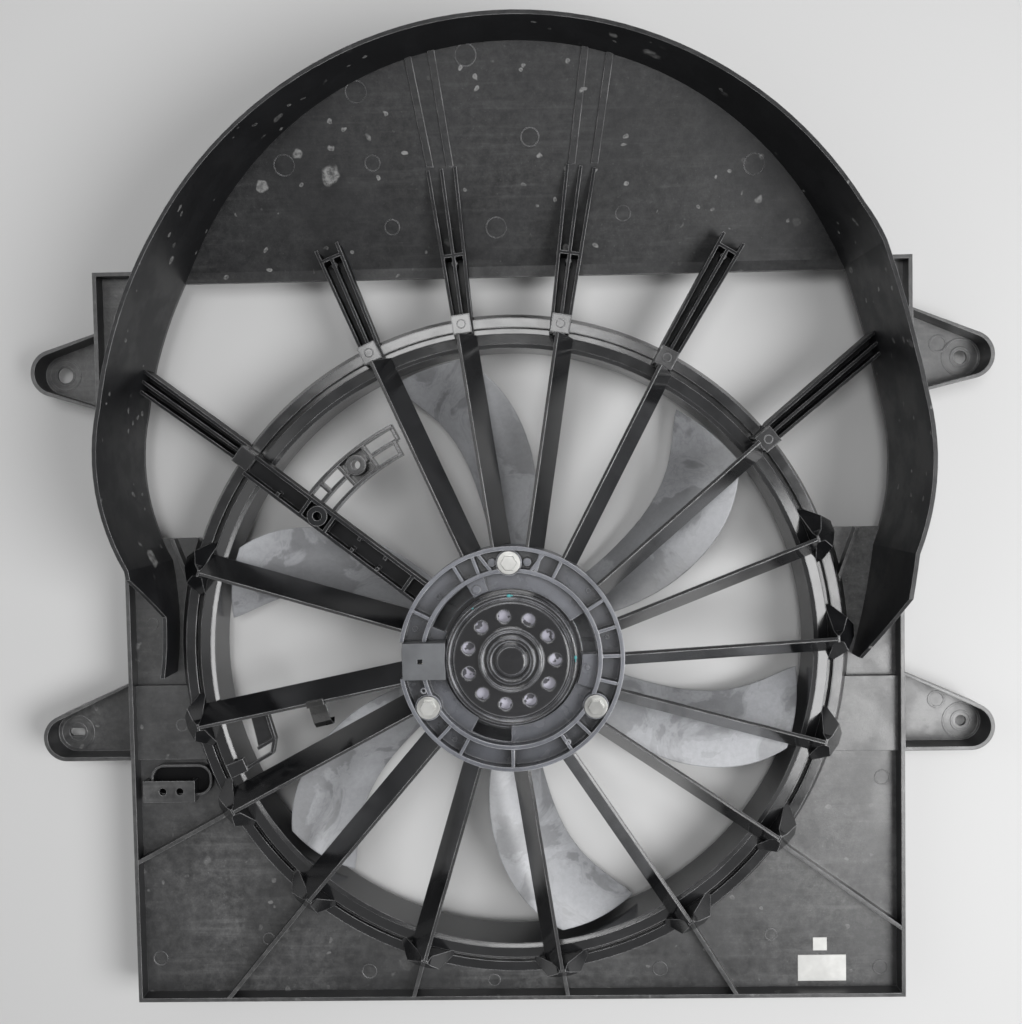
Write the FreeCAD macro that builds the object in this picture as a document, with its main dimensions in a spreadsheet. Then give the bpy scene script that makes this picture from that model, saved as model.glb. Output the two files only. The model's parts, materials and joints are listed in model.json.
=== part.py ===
import FreeCAD, Part
import math
import os

import Sketcher

# Engine cooling fan shroud: a moulded cowl with a fan ring, stator vanes, a motor
# carried at their centre and a six-bladed fan.  Millimetres.  +Z points to the
# engine side, the fan turns about Z, and Z = 0 is the edge that faces the radiator.

V = FreeCAD.Vector
doc = FreeCAD.newDocument("FanShroud")
sheet = doc.addObject("Spreadsheet::Sheet", "Sizes")

SIZES = [
    # panel and its perimeter wall
    ("panel_top", 30.0), ("panel_thick", 3.0), ("wall_thick", 3.0), ("lip_height", 12.0),
    ("side_margin", 40.0), ("bottom_margin", 18.0),
    ("left_flare", 18.0), ("right_flare", 7.0), ("flare_low", 63.0), ("flare_high", 188.0),
    # hood
    ("hood_rise", 92.0), ("chord_margin", 33.0), ("chord_flange", 8.2), ("roof_rise", 48.0),
    ("hood_reach", 188.0), ("left_step_high", 64.0), ("left_step_low", 29.0),
    ("left_end_rise", 30.0), ("right_step_high", 42.0), ("right_step_low", -15.0),
    ("right_end_rise", 14.0), ("window_angle", 19.6), ("roof_rib_high", 1.6),
    ("roof_rib_wide", 5.0), ("gusset_high", 9.0),
    # fan ring, from its bore outwards and from its skirt upwards
    ("ring_bore_radius", 229.0), ("band_wide", 11.0), ("groove_wide", 5.0),
    ("shoulder_wide", 7.5), ("skirt_run", 3.5), ("base_run", 6.0), ("ring_wall", 3.0),
    ("ring_skirt_rise", 12.0), ("shoulder_step", 9.0), ("groove_deep", 4.0),
    ("band_step", 8.0), ("lip_step", 1.0), ("barrel_low", 14.0),
    # stator vanes and arms
    ("vane_thick", 2.6), ("vane_depth", 29.0), ("vane_tilt", 24.0), ("vane_tip_drop", 17.0),
    ("foot_wide", 9.0), ("foot_end_rise", 16.0),
    ("block_side", 14.0), ("block_rise", 40.0), ("block_gap", 1.0), ("foot_wing", 21.0),
    ("arm_wide", 15.0), ("arm_flare", 2.0), ("arm_pin", 2.2), ("arm_rise", 23.0), ("arm_low", 4.0), ("arm_rib", 2.4),
    ("arm_floor", 2.6), ("arm_over", 6.0), ("fin_run", 64.0), ("fin_short", 8.0),
    ("ladder_wide", 17.5), ("ladder_deep", 14.0), ("ladder_rib", 2.6),
    ("ladder_boss_at", 175.6), ("boss_radius", 7.4), ("boss_bore", 3.2), ("boss_depth", 22.0),
    ("boss_hole_deep", 16.0),
    ("bracket_inner", 168.0), ("bracket_wide", 24.0), ("bracket_rise", 54.0),
    ("bracket_deep", 12.0),
    # motor mount ring, from its outside inwards
    ("mount_radius", 82.0), ("mount_rise", 69.0), ("mount_deep", 26.0), ("mount_wall", 3.0),
    ("channel_wide", 19.0), ("channel_floor", 9.0), ("bore_gap", 2.5),
    ("bolt_inset", 12.0), ("bolt_boss", 9.5), ("slot_edge", 1.0), ("pad_thick", 2.5),
    # motor, from the outside of its can inwards
    ("can_radius", 48.0), ("can_wall", 2.0), ("can_low", 26.0), ("can_rise", 68.0),
    ("cap_thick", 4.0), ("cap_round", 3.0), ("cap_groove", 1.6), ("cap_rim", 3.4),
    ("vent_circle", 64.0), ("vent_bore", 9.0),
    ("cup_radius", 23.0), ("cup_inner", 17.0), ("cup_rise", 5.0), ("plug_radius", 11.0),
    ("flange_thick", 4.0), ("flange_edge", 2.0), ("fit_gap", 0.4),
    ("shaft_radius", 5.0), ("running_gap", 0.3), ("bearing_radius", 14.0),
    ("bearing_wide", 11.0), ("air_gap", 1.2), ("core_long", 28.0),
    ("coil_step", 4.0), ("coil_long", 7.0), ("magnet_thick", 8.0), ("commutator_radius", 12.0),
    ("commutator_long", 9.0), ("brush_wide", 8.0), ("brush_high", 5.0), ("brush_long", 12.0),
    ("spring_long", 10.0), ("card_thick", 2.5),
    # fan
    ("hub_radius", 76.0), ("hub_wall", 3.5), ("hub_low", 9.0), ("hub_deep", 39.0),
    ("boss_outer", 13.0), ("tip_gap", 4.2), ("blade_thick", 3.0), ("blade_inset", 4.0),
    ("blade_pitch", 32.0), ("tip_lift", 8.0), ("tip_pitch", 27.0), ("blade_camber", 5.0),
    # fasteners and small parts
    ("bolt_radius", 3.0), ("head_radius", 8.4), ("head_flange", 1.6), ("hex_across", 10.0),
    ("hex_high", 5.5), ("nut_high", 6.0), ("plug_wide", 26.5), ("plug_inset", 3.5),
    ("plug_rise", 5.0), ("plug_wall", 2.5), ("blade_pin", 6.3), ("label_long", 38.0),
    ("label_high", 21.0), ("label_thick", 0.4), ("clip_at", 148.0), ("clip_wide", 13.0), ("clip_thick", 0.9), ("tab_long", 41.0), ("tab_wide", 17.0),
    ("tab_high", 10.0), ("tab_hole", 2.9),
    # ears
    ("ear_reach", 53.5), ("ear_upper_y", 219.0), ("ear_lower_y", -69.4), ("ear_end", 18.5),
    ("ear_hole", 6.6), ("ear_hole_right", 5.2), ("ear_slot", 3.3), ("ear_slot_long", 13.4),
    ("ear_rise", 5.0), ("ear_deep", 23.0), ("ear_floor", 3.0), ("ear_wall", 3.0),
    ("ear_small_hole", 4.2), ("ear_ring", 3.0), ("pad_rise", 5.0), ("pad_long", 65.0),
    ("pad_high", 59.0),
]
for row, (name, number) in enumerate(SIZES, 1):
    sheet.set("A%d" % row, name)
    sheet.set("B%d" % row, str(number))
    sheet.setAlias("B%d" % row, name)
doc.recompute()


class Dim:
    """A size with the expression that ties it to the spreadsheet."""

    def __init__(self, number, text):
        self.number = float(number)
        self.text = text

    def __float__(self):
        return self.number

    def _mix(self, other, sign, value):
        return Dim(value, "(%s %s %s)" % (self.text, sign, dim(other).text))

    def __add__(self, other):
        return self._mix(other, "+", self.number + float(other))

    def __sub__(self, other):
        return self._mix(other, "-", self.number - float(other))

    def __mul__(self, other):
        return self._mix(other, "*", self.number * float(other))

    def __truediv__(self, other):
        return self._mix(other, "/", self.number / float(other))

    def __neg__(self):
        return Dim(-self.number, "(0 - %s)" % self.text)


def dim(item):
    return item if isinstance(item, Dim) else Dim(item, repr(float(item)))


def size(name):
    return Dim(float(getattr(sheet, name)), "Sizes." + name)


def val(name):
    return float(getattr(sheet, name))


PARTS = []


def keep(item, label):
    item.Label = label
    PARTS.append(item)
    return item


# ---------------------------------------------------------------- document helpers
def new_body(label):
    body = doc.addObject("PartDesign::Body", label)
    keep(body, label)
    return body


def new_sketch(body, name, role="XY_Plane", height=None):
    sketch = body.newObject("Sketcher::SketchObject", name)
    for item in body.Origin.OriginFeatures:
        if item.Role == role:
            sketch.AttachmentSupport = (item, "")
    sketch.MapMode = "FlatFace"
    if height is not None:
        sketch.setExpression("AttachmentOffset.Base.z", dim(height).text)
    return sketch


def tie(sketch, kind, args, number):
    """Adds one dimension and ties it to the sheet where it names a cell."""
    number = dim(number)
    index = sketch.addConstraint(Sketcher.Constraint(kind, *args, float(number)))
    if "Sizes." in number.text:
        sketch.setExpression("Constraints[%d]" % index, number.text)


def polygon(sketch, points):
    """Closed polygon whose corners are tied to the sheet."""
    count = len(points)
    flat = [V(float(a), float(b), 0) for a, b in points]
    first = sketch.GeometryCount
    for i in range(count):
        sketch.addGeometry(Part.LineSegment(flat[i], flat[(i + 1) % count]), False)
    for i in range(count):
        nxt = first + (i + 1) % count
        sketch.addConstraint(Sketcher.Constraint("Coincident", first + i, 2, nxt, 1))
    for i, (a, b) in enumerate(points):
        tie(sketch, "DistanceX", (-1, 1, first + i, 1), a)
        tie(sketch, "DistanceY", (-1, 1, first + i, 1), b)


def circle(sketch, x, y, radius):
    index = sketch.addGeometry(Part.Circle(V(float(x), float(y), 0), V(0, 0, 1), float(radius)),
                               False)
    tie(sketch, "DistanceX", (-1, 1, index, 3), x)
    tie(sketch, "DistanceY", (-1, 1, index, 3), y)
    tie(sketch, "Radius", (index,), radius)


def pad(body, sketch, length, name="Pad", down=False):
    feature = body.newObject("PartDesign::Pad", body.Name + name)
    feature.Profile = sketch
    feature.setExpression("Length", dim(length).text)
    feature.Length = float(length)
    feature.Reversed = down
    sketch.Visibility = False
    doc.recompute()
    return feature


def pocket(body, sketch, length, name="Pocket"):
    """Cuts downwards from the sketch and makes sure that it removed something."""
    before = body.Shape.Volume
    feature = body.newObject("PartDesign::Pocket", body.Name + name)
    feature.Profile = sketch
    feature.setExpression("Length", dim(length).text)
    feature.Length = float(length)
    doc.recompute()
    if body.Shape.Volume > before - 1e-6:
        raise RuntimeError("pocket cuts nothing in " + body.Label)
    return feature


def turned(label, points, angle=360.0, start=0.0):
    """A body of revolution about Z from a profile of (radius, height)."""
    body = new_body(label)
    sketch = new_sketch(body, label + "Profile", "XZ_Plane")
    polygon(sketch, points)
    spin = body.newObject("PartDesign::Revolution", label + "Turn")
    spin.Profile = sketch
    spin.ReferenceAxis = (sketch, ["V_Axis"])
    spin.Angle = angle
    if start:
        body.Placement = FreeCAD.Placement(V(0, 0, 0), FreeCAD.Rotation(V(0, 0, 1), start))
    doc.recompute()
    return body


def feature(label, shape):
    """A free-form piece; its sizes come from the sheet through the code below."""
    item = doc.addObject("Part::Feature", label)
    item.Shape = shape
    keep(item, label)
    return item


# ---------------------------------------------------------------- shape helpers
def box(x0, x1, y0, y1, z0, z1):
    return Part.makeBox(x1 - x0, y1 - y0, z1 - z0, V(x0, y0, z0))


def rod(radius, z0, z1, x=0.0, y=0.0):
    return Part.makeCylinder(radius, z1 - z0, V(x, y, z0))


def tube(outer, inner, z0, z1, x=0.0, y=0.0):
    return rod(outer, z0, z1, x, y).cut(rod(inner, z0 - 1, z1 + 1, x, y))


def prism(points, z0, z1):
    flat = [V(a, b, z0) for a, b in points]
    return Part.Face(Part.makePolygon(flat + [flat[0]])).extrude(V(0, 0, z1 - z0))


def plate_rz(points, thick, angle):
    """An upright plate of (radius, height) points, centred on a ray at an angle."""
    flat = [V(a, -thick / 2.0, b) for a, b in points]
    solid = Part.Face(Part.makePolygon(flat + [flat[0]])).extrude(V(0, thick, 0))
    solid.rotate(V(0, 0, 0), V(0, 0, 1), angle)
    return solid


def turned_shape(points):
    flat = [V(a, 0, b) for a, b in points]
    return Part.Face(Part.makePolygon(flat + [flat[0]])).revolve(V(0, 0, 0), V(0, 0, 1), 360)


def spot(radius, angle):
    return (radius * math.cos(math.radians(angle)), radius * math.sin(math.radians(angle)))


def at_angle(shape, angle):
    copy = shape.copy()
    copy.rotate(V(0, 0, 0), V(0, 0, 1), angle)
    return copy


def fused(shapes):
    if len(shapes) == 1:
        return shapes[0]
    return shapes[0].multiFuse(shapes[1:]).removeSplitter()


def group(shapes):
    """Separate solids kept together in one piece."""
    solids = []
    for shape in shapes:
        solids += shape.Solids
    return Part.Compound(solids)


TOP = val("panel_top")
THICK = val("panel_thick")
WALL = val("wall_thick")

# Radii of the fan ring from its bore outwards, and its heights.
ring_bore = size("ring_bore_radius")
band_out = ring_bore + size("band_wide")
shoulder_in = band_out + size("groove_wide")
shoulder_out = shoulder_in + size("shoulder_wide")
skirt_radius = shoulder_out + size("skirt_run")
base_radius = skirt_radius + size("base_run")
panel_top = size("panel_top")
skirt_top = panel_top + size("ring_skirt_rise")
shoulder_top = skirt_top + size("shoulder_step")
groove_top = shoulder_top - size("groove_deep")
band_top = groove_top + size("band_step")
lip_top = band_top + size("lip_step")
half_width = base_radius + size("side_margin")
left_shoulder = half_width + size("left_flare")
right_shoulder = half_width + size("right_flare")
chord_edge = base_radius + size("chord_margin")
BASE = float(base_radius)
CHORD = float(chord_edge)

# ---------------------------------------------------------------- plate outline
# Corners of the cowl's rectangular rim, anticlockwise from the lower left.
OUTLINE = [
    (-half_width, -(base_radius + size("bottom_margin"))),
    (half_width, -(base_radius + size("bottom_margin"))),
    (half_width, size("flare_low")), (right_shoulder, size("flare_high")),
    (right_shoulder, chord_edge),
    (-left_shoulder, chord_edge),
    (-left_shoulder, size("flare_high")), (-half_width, size("flare_low")),
]


def inset(points, depth):
    """Moves every side of an anticlockwise polygon inwards."""
    result = []
    count = len(points)
    for i in range(count):
        a, b, c = points[i - 1], points[i], points[(i + 1) % count]
        first = V(b[0] - a[0], b[1] - a[1], 0).normalize()
        second = V(c[0] - b[0], c[1] - b[1], 0).normalize()
        n1 = V(-first.y, first.x, 0)
        n2 = V(-second.y, second.x, 0)
        bisect = n1 + n2
        bisect = bisect * (2.0 * depth / bisect.dot(bisect))
        result.append((b[0] + bisect.x, b[1] + bisect.y))
    return result


OUTER = [(float(a), float(b)) for a, b in OUTLINE]
INNER = inset(OUTER, WALL)

# ---------------------------------------------------------------- hood path
# Centre line of the hood wall from its lower left end over the crown to its
# lower right end: corner, middle of the arc, corner, and so on.  Each point is an
# angle about the fan axis and a distance outside the foot of the fan ring.
HOOD_POINTS = [
    (183.84, 7.1), (173.55, 5.2), (165.34, 16.6), (157.0, 50.3), (147.06, 78.2),
    (136.98, 105.9), (127.66, 130.8), (88.98, val("hood_reach")), (51.74, 137.9),
    (49.71, 133.3), (47.81, 128.1), (40.33, 102.7), (32.21, 81.3), (23.41, 60.1),
    (14.53, 30.9), (6.19, 16.1), (-2.58, 4.8),
]
CROWN = BASE + val("hood_reach")
HOOD_PATH = [((BASE + out) * math.cos(math.radians(angle)),
              (BASE + out) * math.sin(math.radians(angle))) for angle, out in HOOD_POINTS]


def hood_side(offset):
    """The hood path moved sideways: positive moves it outwards."""
    result = []
    count = len(HOOD_PATH)
    for i, (x, y) in enumerate(HOOD_PATH):
        if i % 2:
            a, b = HOOD_PATH[i - 1], HOOD_PATH[i + 1]
        else:
            a, b = HOOD_PATH[max(i - 1, 0)], HOOD_PATH[min(i + 1, count - 1)]
        along = V(b[0] - a[0], b[1] - a[1], 0).normalize()
        result.append((x - along.y * offset, y + along.x * offset))
    return result


def arc_edges(points, z, backwards=False):
    chain = list(reversed(points)) if backwards else points
    return [Part.Arc(V(chain[i][0], chain[i][1], z), V(chain[i + 1][0], chain[i + 1][1], z),
                     V(chain[i + 2][0], chain[i + 2][1], z)).toShape()
            for i in range(0, len(chain) - 2, 2)]


def line(a, b, z):
    return Part.makeLine(V(a[0], a[1], z), V(b[0], b[1], z))


hood_out = hood_side(WALL / 2.0)
hood_in = hood_side(-WALL / 2.0)
hood_face = Part.Face(Part.Wire(
    arc_edges(hood_out, TOP) + [line(hood_out[-1], hood_in[-1], TOP)]
    + arc_edges(hood_in, TOP, True) + [line(hood_in[0], hood_out[0], TOP)]))
hood_field = Part.Face(Part.Wire(
    arc_edges(hood_out, 0) + [line(hood_out[-1], hood_out[0], 0)]))

SLOPE = val("roof_rise") / (CROWN - CHORD)
FAR = 700.0


def slope_slab(low, high):
    """Everything between two planes parallel to the hood's roof, beyond the chord."""
    far = CHORD + FAR
    points = [(CHORD, TOP + low), (far, TOP + low + SLOPE * FAR),
              (far, TOP + high + SLOPE * FAR), (CHORD, TOP + high)]
    flat = [V(-FAR, y, z) for y, z in points]
    return Part.Face(Part.makePolygon(flat + [flat[0]])).extrude(V(2 * FAR, 0, 0))


hood_column = hood_field.extrude(V(0, 0, 400))
flange_low = CHORD - val("chord_flange")
roof_column = hood_column.common(box(-FAR, FAR, flange_low, FAR, -1, 400))
roof_plain = hood_column.common(slope_slab(-THICK, 0.0))
chord_strip = hood_column.common(box(-FAR, FAR, flange_low, CHORD, TOP - THICK, TOP))
below_roof = slope_slab(-200.0, 0.0)
above_underside = roof_column.common(slope_slab(-THICK, 300.0))

# The wall stands on the panel and on the roof, and its two ends step down.
hood_wall = hood_face.extrude(V(0, 0, val("hood_rise"))).cut(below_roof)
for side_name, x_from in (("left", -FAR), ("right", 0.0)):
    y_high, y_low = val(side_name + "_step_high"), val(side_name + "_step_low")
    end_top = TOP + val(side_name + "_end_rise")
    step = [(y_high, TOP + val("hood_rise")), (y_low, end_top), (-FAR, end_top), (-FAR, 400.0),
            (y_high, 400.0)]
    flat = [V(x_from, y, z) for y, z in step]
    hood_wall = hood_wall.cut(Part.Face(Part.makePolygon(flat + [flat[0]])).extrude(V(FAR, 0, 0)))

# ---------------------------------------------------------------- window edges
angle_right = val("window_angle")
angle_left = 180.0 - angle_right
LOW = BASE * math.sin(math.radians(angle_right))
window = hood_field.extrude(V(0, 0, 400)).common(box(-FAR, FAR, LOW, flange_low, -1, 400))
window = window.cut(hood_face.extrude(V(0, 0, 400))).cut(
    Part.Face(hood_face.OuterWire).extrude(V(0, 0, -400)))
window_column = max(window.Solids, key=lambda s: s.Volume)
mouth = rod(BASE, -1, 400)

# ---------------------------------------------------------------- 1 panel
panel = prism(INNER, TOP - THICK, TOP).cut(mouth).cut(window_column).cut(roof_column)
panel = group([s for s in panel.Solids if s.Volume > 50.0])
feature("shroud_panel", panel)

# ---------------------------------------------------------------- 2 perimeter wall
rim = prism(OUTER, 0.0, TOP + val("lip_height")).cut(prism(INNER, -1.0, TOP + 100.0))
rim = rim.cut(above_underside).cut(hood_wall)
rim = rim.cut(hood_column.common(box(-FAR, FAR, flange_low, CHORD, TOP - THICK, 400)))
feature("perimeter_wall", rim)

# ---------------------------------------------------------------- 3, 4 hood
feature("hood_wall", hood_wall)

VANES = [164.5, 114.5, 98.5, 81.0, 62.0, 40.0, 20.0, 2.0, -16.5, -35.5, -57.3, -82.0, -106.8,
         -130.3, -151.3, -167.7]
UPPER = [143.0, 114.4, 97.7, 80.6, 61.4, 39.0]
LOWER = [164.5, 20.0, 2.0, -16.5, -35.5, -57.3, -82.0, -106.8, -130.3, -151.3, -167.7]

roof_parts = [roof_plain, chord_strip]
rib_w = val("roof_rib_wide")
fin_end = CHORD + val("arm_over") + val("fin_run")
for x_low, x_high in ((-55.6, -73.6), (-40.5, -54.8), (51.2, 64.8), (68.4, 84.1)):
    strip = prism([(x_low - rib_w / 2, fin_end + 1), (x_low + rib_w / 2, fin_end + 1),
                   (x_high + rib_w / 2, CROWN + 20), (x_high - rib_w / 2, CROWN + 20)], 0, 400)
    strip = strip.common(slope_slab(0.0, val("roof_rib_high")))
    roof_parts.append(strip.common(hood_column).cut(hood_wall))
roof = fused(roof_parts).cut(hood_wall)
feature("hood_roof", roof)

# ---------------------------------------------------------------- 5 fan ring
wall = size("ring_wall")
ring = [
    (ring_bore, panel_top - size("barrel_low")), (ring_bore + wall, panel_top - size("barrel_low")),
    (ring_bore + wall, lip_top - wall), (band_out - wall, band_top - wall),
    (band_out - wall, groove_top - wall), (shoulder_in + wall, groove_top - wall),
    (shoulder_in + wall, shoulder_top - wall), (shoulder_out - wall, shoulder_top - wall),
    (skirt_radius - wall, skirt_top), (skirt_radius, skirt_top), (shoulder_out, shoulder_top),
    (shoulder_in, shoulder_top), (shoulder_in, groove_top), (band_out, groove_top),
    (band_out, band_top), (ring_bore + wall, lip_top), (ring_bore, lip_top - wall / 2),
]
turned("fan_ring", ring)
# Everything on and inside the ring's upper surface, for what sits on it.
ring_solid = turned_shape([(0.0, -1.0)] + [(float(a), float(b)) for a, b in (
    (base_radius, -size("wall_thick")), (base_radius, panel_top), (skirt_radius, skirt_top),
    (shoulder_out, shoulder_top), (shoulder_in, shoulder_top), (shoulder_in, groove_top),
    (band_out, groove_top), (band_out, band_top), (ring_bore + wall, lip_top))]
    + [(0.0, float(lip_top))])

# ---------------------------------------------------------------- 6 ring collar
collar = [
    (base_radius - wall, panel_top - size("panel_thick")),
    (base_radius, panel_top - size("panel_thick")), (base_radius, panel_top),
    (skirt_radius, skirt_top), (skirt_radius - wall, skirt_top), (base_radius - wall, panel_top),
]
turned("ring_collar", collar, 180.0 + 2.0 * angle_right, angle_left)

# ---------------------------------------------------------------- 7 vanes
MOUNT = val("mount_radius")
MTOP = TOP + val("mount_rise")
REACH = float(band_out)
HUB_TOP = MTOP - 1.0
TIP = HUB_TOP - val("vane_tip_drop")
vane_slope = math.degrees(math.atan2(HUB_TOP - TIP, REACH - MOUNT))
keep_ring = rod(REACH, -1, 400).cut(rod(MOUNT, -2, 401))


def vane(angle, thick, deep):
    """A leaning blade from the mount ring to the fan ring; its top edge slopes down."""
    start, end = MOUNT - 10.0, REACH + 12.0
    along = math.cos(math.radians(vane_slope))
    solid = box(0, (end - start) / along, -thick, 0.0, -deep, 0.0)
    solid.rotate(V(0, 0, 0), V(1, 0, 0), -val("vane_tilt"))
    solid.rotate(V(0, 0, 0), V(0, 1, 0), vane_slope)
    rise = HUB_TOP + 10.0 * math.tan(math.radians(vane_slope))
    solid.translate(V(start, thick / 2.0, rise))
    solid.rotate(V(0, 0, 0), V(0, 0, 1), angle)
    return solid.common(keep_ring).cut(ring_solid)


vane_deep = val("vane_depth")
feature("stator_vanes", group([vane(a, val("vane_thick"), vane_deep) for a in VANES]))

# ---------------------------------------------------------------- 8 vane feet
outside_reach = rod(FAR, -1, 400).cut(rod(REACH, -2, 401))
S_TOP = float(shoulder_top)
foot_half = val("foot_wide") / 2.0
wing_half = val("foot_wing")
feet = []
for angle in LOWER:
    profile = [(REACH - 4, TIP), (REACH + 1.5, TIP), (BASE, TOP + val("foot_end_rise")),
               (BASE, TOP), (REACH - 4, TOP)]
    flat = [V(0, y, z) for y, z in (
        (-foot_half / 2, TIP + 1), (-foot_half, TIP - 10), (-wing_half, S_TOP), (-wing_half, 0),
        (wing_half, 0), (wing_half, S_TOP), (foot_half, TIP - 10), (foot_half / 2, TIP + 1))]
    tent = Part.Face(Part.makePolygon(flat + [flat[0]])).extrude(V(FAR, 0, 0))
    foot = plate_rz(profile, 3.0 * wing_half, 0.0).common(tent)
    taper = prism([(REACH - 5, -1.4 * wing_half), (BASE, -foot_half), (BASE, foot_half),
                   (REACH - 5, 1.4 * wing_half)], 0, 400)
    foot = at_angle(foot.common(taper), angle)
    feet.append(foot.common(outside_reach).cut(ring_solid))
feature("vane_feet", group(feet))

# ---------------------------------------------------------------- 9 ring blocks
side = val("block_side")
block_at = REACH + val("block_gap")
blocks = []
for angle in UPPER:
    cube = box(block_at, block_at + side, -side / 2, side / 2, TOP + val("arm_low"),
               TOP + val("block_rise"))
    link = plate_rz([(REACH - 4, TIP), (block_at + 0.2, TOP + val("block_rise") - 1),
                     (block_at + 0.2, TOP), (REACH - 4, TOP)], side * 0.6, 0.0)
    cube = at_angle(cube.fuse(link).removeSplitter(), angle)
    blocks.append(cube.common(outside_reach).cut(ring_solid))
feature("ring_blocks", group(blocks))

# ---------------------------------------------------------------- 10 arm channels
ARMS = [  # angle on the ring, direction, length beyond the crossbar, middle fin too
    (143.0, 143.4, 0.0, False), (114.4, 112.1, val("fin_short"), False),
    (97.7, 96.7, val("fin_run"), True), (80.6, 81.6, val("fin_run"), True),
    (61.4, 59.5, val("fin_short"), False), (39.0, 39.7, 0.0, False)]
A_TOP = TOP + val("arm_rise")
A_LOW = TOP + val("arm_low")
half = val("arm_wide") / 2.0
flare = val("arm_flare")
rib = val("arm_rib")
arms = []
for angle, turn, beyond, middle_fin in ARMS:
    sx, sy = spot(block_at, angle)
    long = (CHORD + val("arm_over") - sy) / math.sin(math.radians(turn))
    grow = flare / long
    bits = [prism([(0, -half), (long, -half - flare), (long, half + flare), (0, half)],
                  A_LOW, A_LOW + val("arm_floor"))]
    if beyond:
        bits.append(box(long - rib, long, -half - flare, half + flare, A_LOW, A_TOP))
        bits.append(rod(val("arm_pin"), A_LOW, A_TOP - 2.0, long - 7.0, 0.0))
    far_end = long + beyond
    wide = half + flare * far_end / long
    for side_sign in (-1.0, 1.0):
        bits.append(prism([(0, side_sign * half), (far_end, side_sign * wide),
                           (far_end, side_sign * (wide - rib)), (0, side_sign * (half - rib))],
                          A_LOW, A_TOP))
    reach = far_end if middle_fin else long
    bits.append(box(0, reach, -rib / 2, rib / 2, A_LOW, A_TOP))
    arm = fused(bits)
    arm.rotate(V(0, 0, 0), V(0, 0, 1), turn)
    arm.translate(V(sx, sy, 0))
    arm = arm.cut(ring_solid).cut(below_roof).cut(hood_wall).common(hood_column).cut(roof)
    for block in blocks:
        arm = arm.cut(block)
    arms.append(max(arm.Solids, key=lambda s: s.Volume))
feature("arm_channels", group(arms))

# ---------------------------------------------------------------- 11 ladder arm
L_A = UPPER[0]
lw = val("ladder_wide")
lr = val("ladder_rib")
ld = val("ladder_deep")
drop = math.tan(math.radians(vane_slope))
rails = []
start = MOUNT - 8.0


def sloped(r0, r1, y0, y1, above, deep):
    """A bar along the arm that follows the slope of the vanes' top edge."""
    z0 = HUB_TOP - (r0 - MOUNT) * drop - above
    z1 = HUB_TOP - (r1 - MOUNT) * drop - above
    flat = [V(r0, y0, z0), V(r1, y0, z1), V(r1, y0, z1 - deep), V(r0, y0, z0 - deep)]
    return Part.Face(Part.makePolygon(flat + [flat[0]])).extrude(V(0, y1 - y0, 0))


rails.append(sloped(start, REACH + 5, -lw / 2, -lw / 2 + lr, 0.0, ld))
rails.append(sloped(start, REACH + 5, lw / 2 - lr, lw / 2, 0.0, ld))
rails.append(sloped(start, REACH + 5, -lw / 2, lw / 2, ld - lr, lr))
rails.append(sloped(start, REACH + 5, -lr / 2, lr / 2, ld - 0.5, vane_deep - ld + 0.5))
boss_r = val("boss_radius")
B1 = val("ladder_boss_at")
for r in (MOUNT + 11.0, B1 - 10.5, B1 + 11.5):  # whole ribs across the channel
    rails.append(sloped(r - lr / 2, r + lr / 2, -lw / 2, lw / 2, 0.0, ld))
stub = lw * 0.3
for r, sides in ((B1 - 58.5, (-1, 1)), (B1 - 35.0, (-1, 1)), (B1 + 34.0, (1,))):  # short ribs
    for side_sign in sides:
        y0, y1 = sorted((side_sign * (lw / 2 - stub), side_sign * lw / 2))
        rails.append(sloped(r - lr / 2, r + lr / 2, y0, y1, 1.0, ld - 1.0))
B1_TOP = HUB_TOP - (B1 - MOUNT) * drop + 2.0
rails.append(rod(boss_r, B1_TOP - val("boss_depth"), B1_TOP, B1, 0.0))
ladder = fused(rails).cut(rod(val("boss_bore"), B1_TOP - val("boss_hole_deep"), B1_TOP + 1, B1, 0.0))
ladder = at_angle(ladder, L_A).common(keep_ring).cut(ring_solid)
feature("ladder_arm", ladder)

# ---------------------------------------------------------------- 12 curved bracket
b_top = TOP + val("bracket_rise")
b_deep = val("bracket_deep")
r_in = val("bracket_inner")
r_out = r_in + val("bracket_wide")


def sector(outer, inner, a0, a1, z0, z1):
    ring_part = tube(outer, inner, z0, z1)
    count = max(2, int(abs(a1 - a0) / 30.0) + 2)
    fan = [(0.0, 0.0)] + [spot(outer * 1.6, a0 + (a1 - a0) * i / count) for i in range(count + 1)]
    return ring_part.common(prism(fan, z0 - 1, z1 + 1))


r_mid = (r_in + r_out) / 2.0
b_low = b_top - b_deep
bracket = [sector(r_out, r_out - lr, L_A - 26.5, L_A, b_low, b_top),
           sector(r_in + lr, r_in, L_A - 25.5, L_A, b_low, b_top),
           sector(r_mid + lr / 2, r_mid - lr / 2, L_A - 26.0, L_A, b_low, b_top - 2.0),
           sector(r_out, r_in, L_A - 18.5, L_A - 11.5, b_low, b_low + lr)]
for r0, r1, a in ((r_mid, r_out, 26.2), (r_in, r_mid, 25.2), (r_in, r_out, 18.5),
                  (r_in, r_out, 11.5), (r_mid, r_out, 6.0)):
    bracket.append(at_angle(box(r0, r1, -lr / 2, lr / 2, b_low, b_top - 1), L_A - a))
bx, by = spot(r_in + val("bracket_wide") * 0.54, L_A - 15.0)
bracket.append(rod(boss_r, b_low, b_top + 3.0, bx, by))
bracket = fused(bracket).cut(rod(val("boss_bore"), b_top - b_deep - 1, b_top + 4, bx, by))
bracket = bracket.cut(at_angle(box(MOUNT, 260, -lw / 2, lw / 2, 0, 200), L_A))
vane_114 = vane(114.5, val("vane_thick"), vane_deep)
bracket = bracket.cut(vane_114)
feature("curved_bracket", max(bracket.Solids, key=lambda s: s.Volume))

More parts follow.
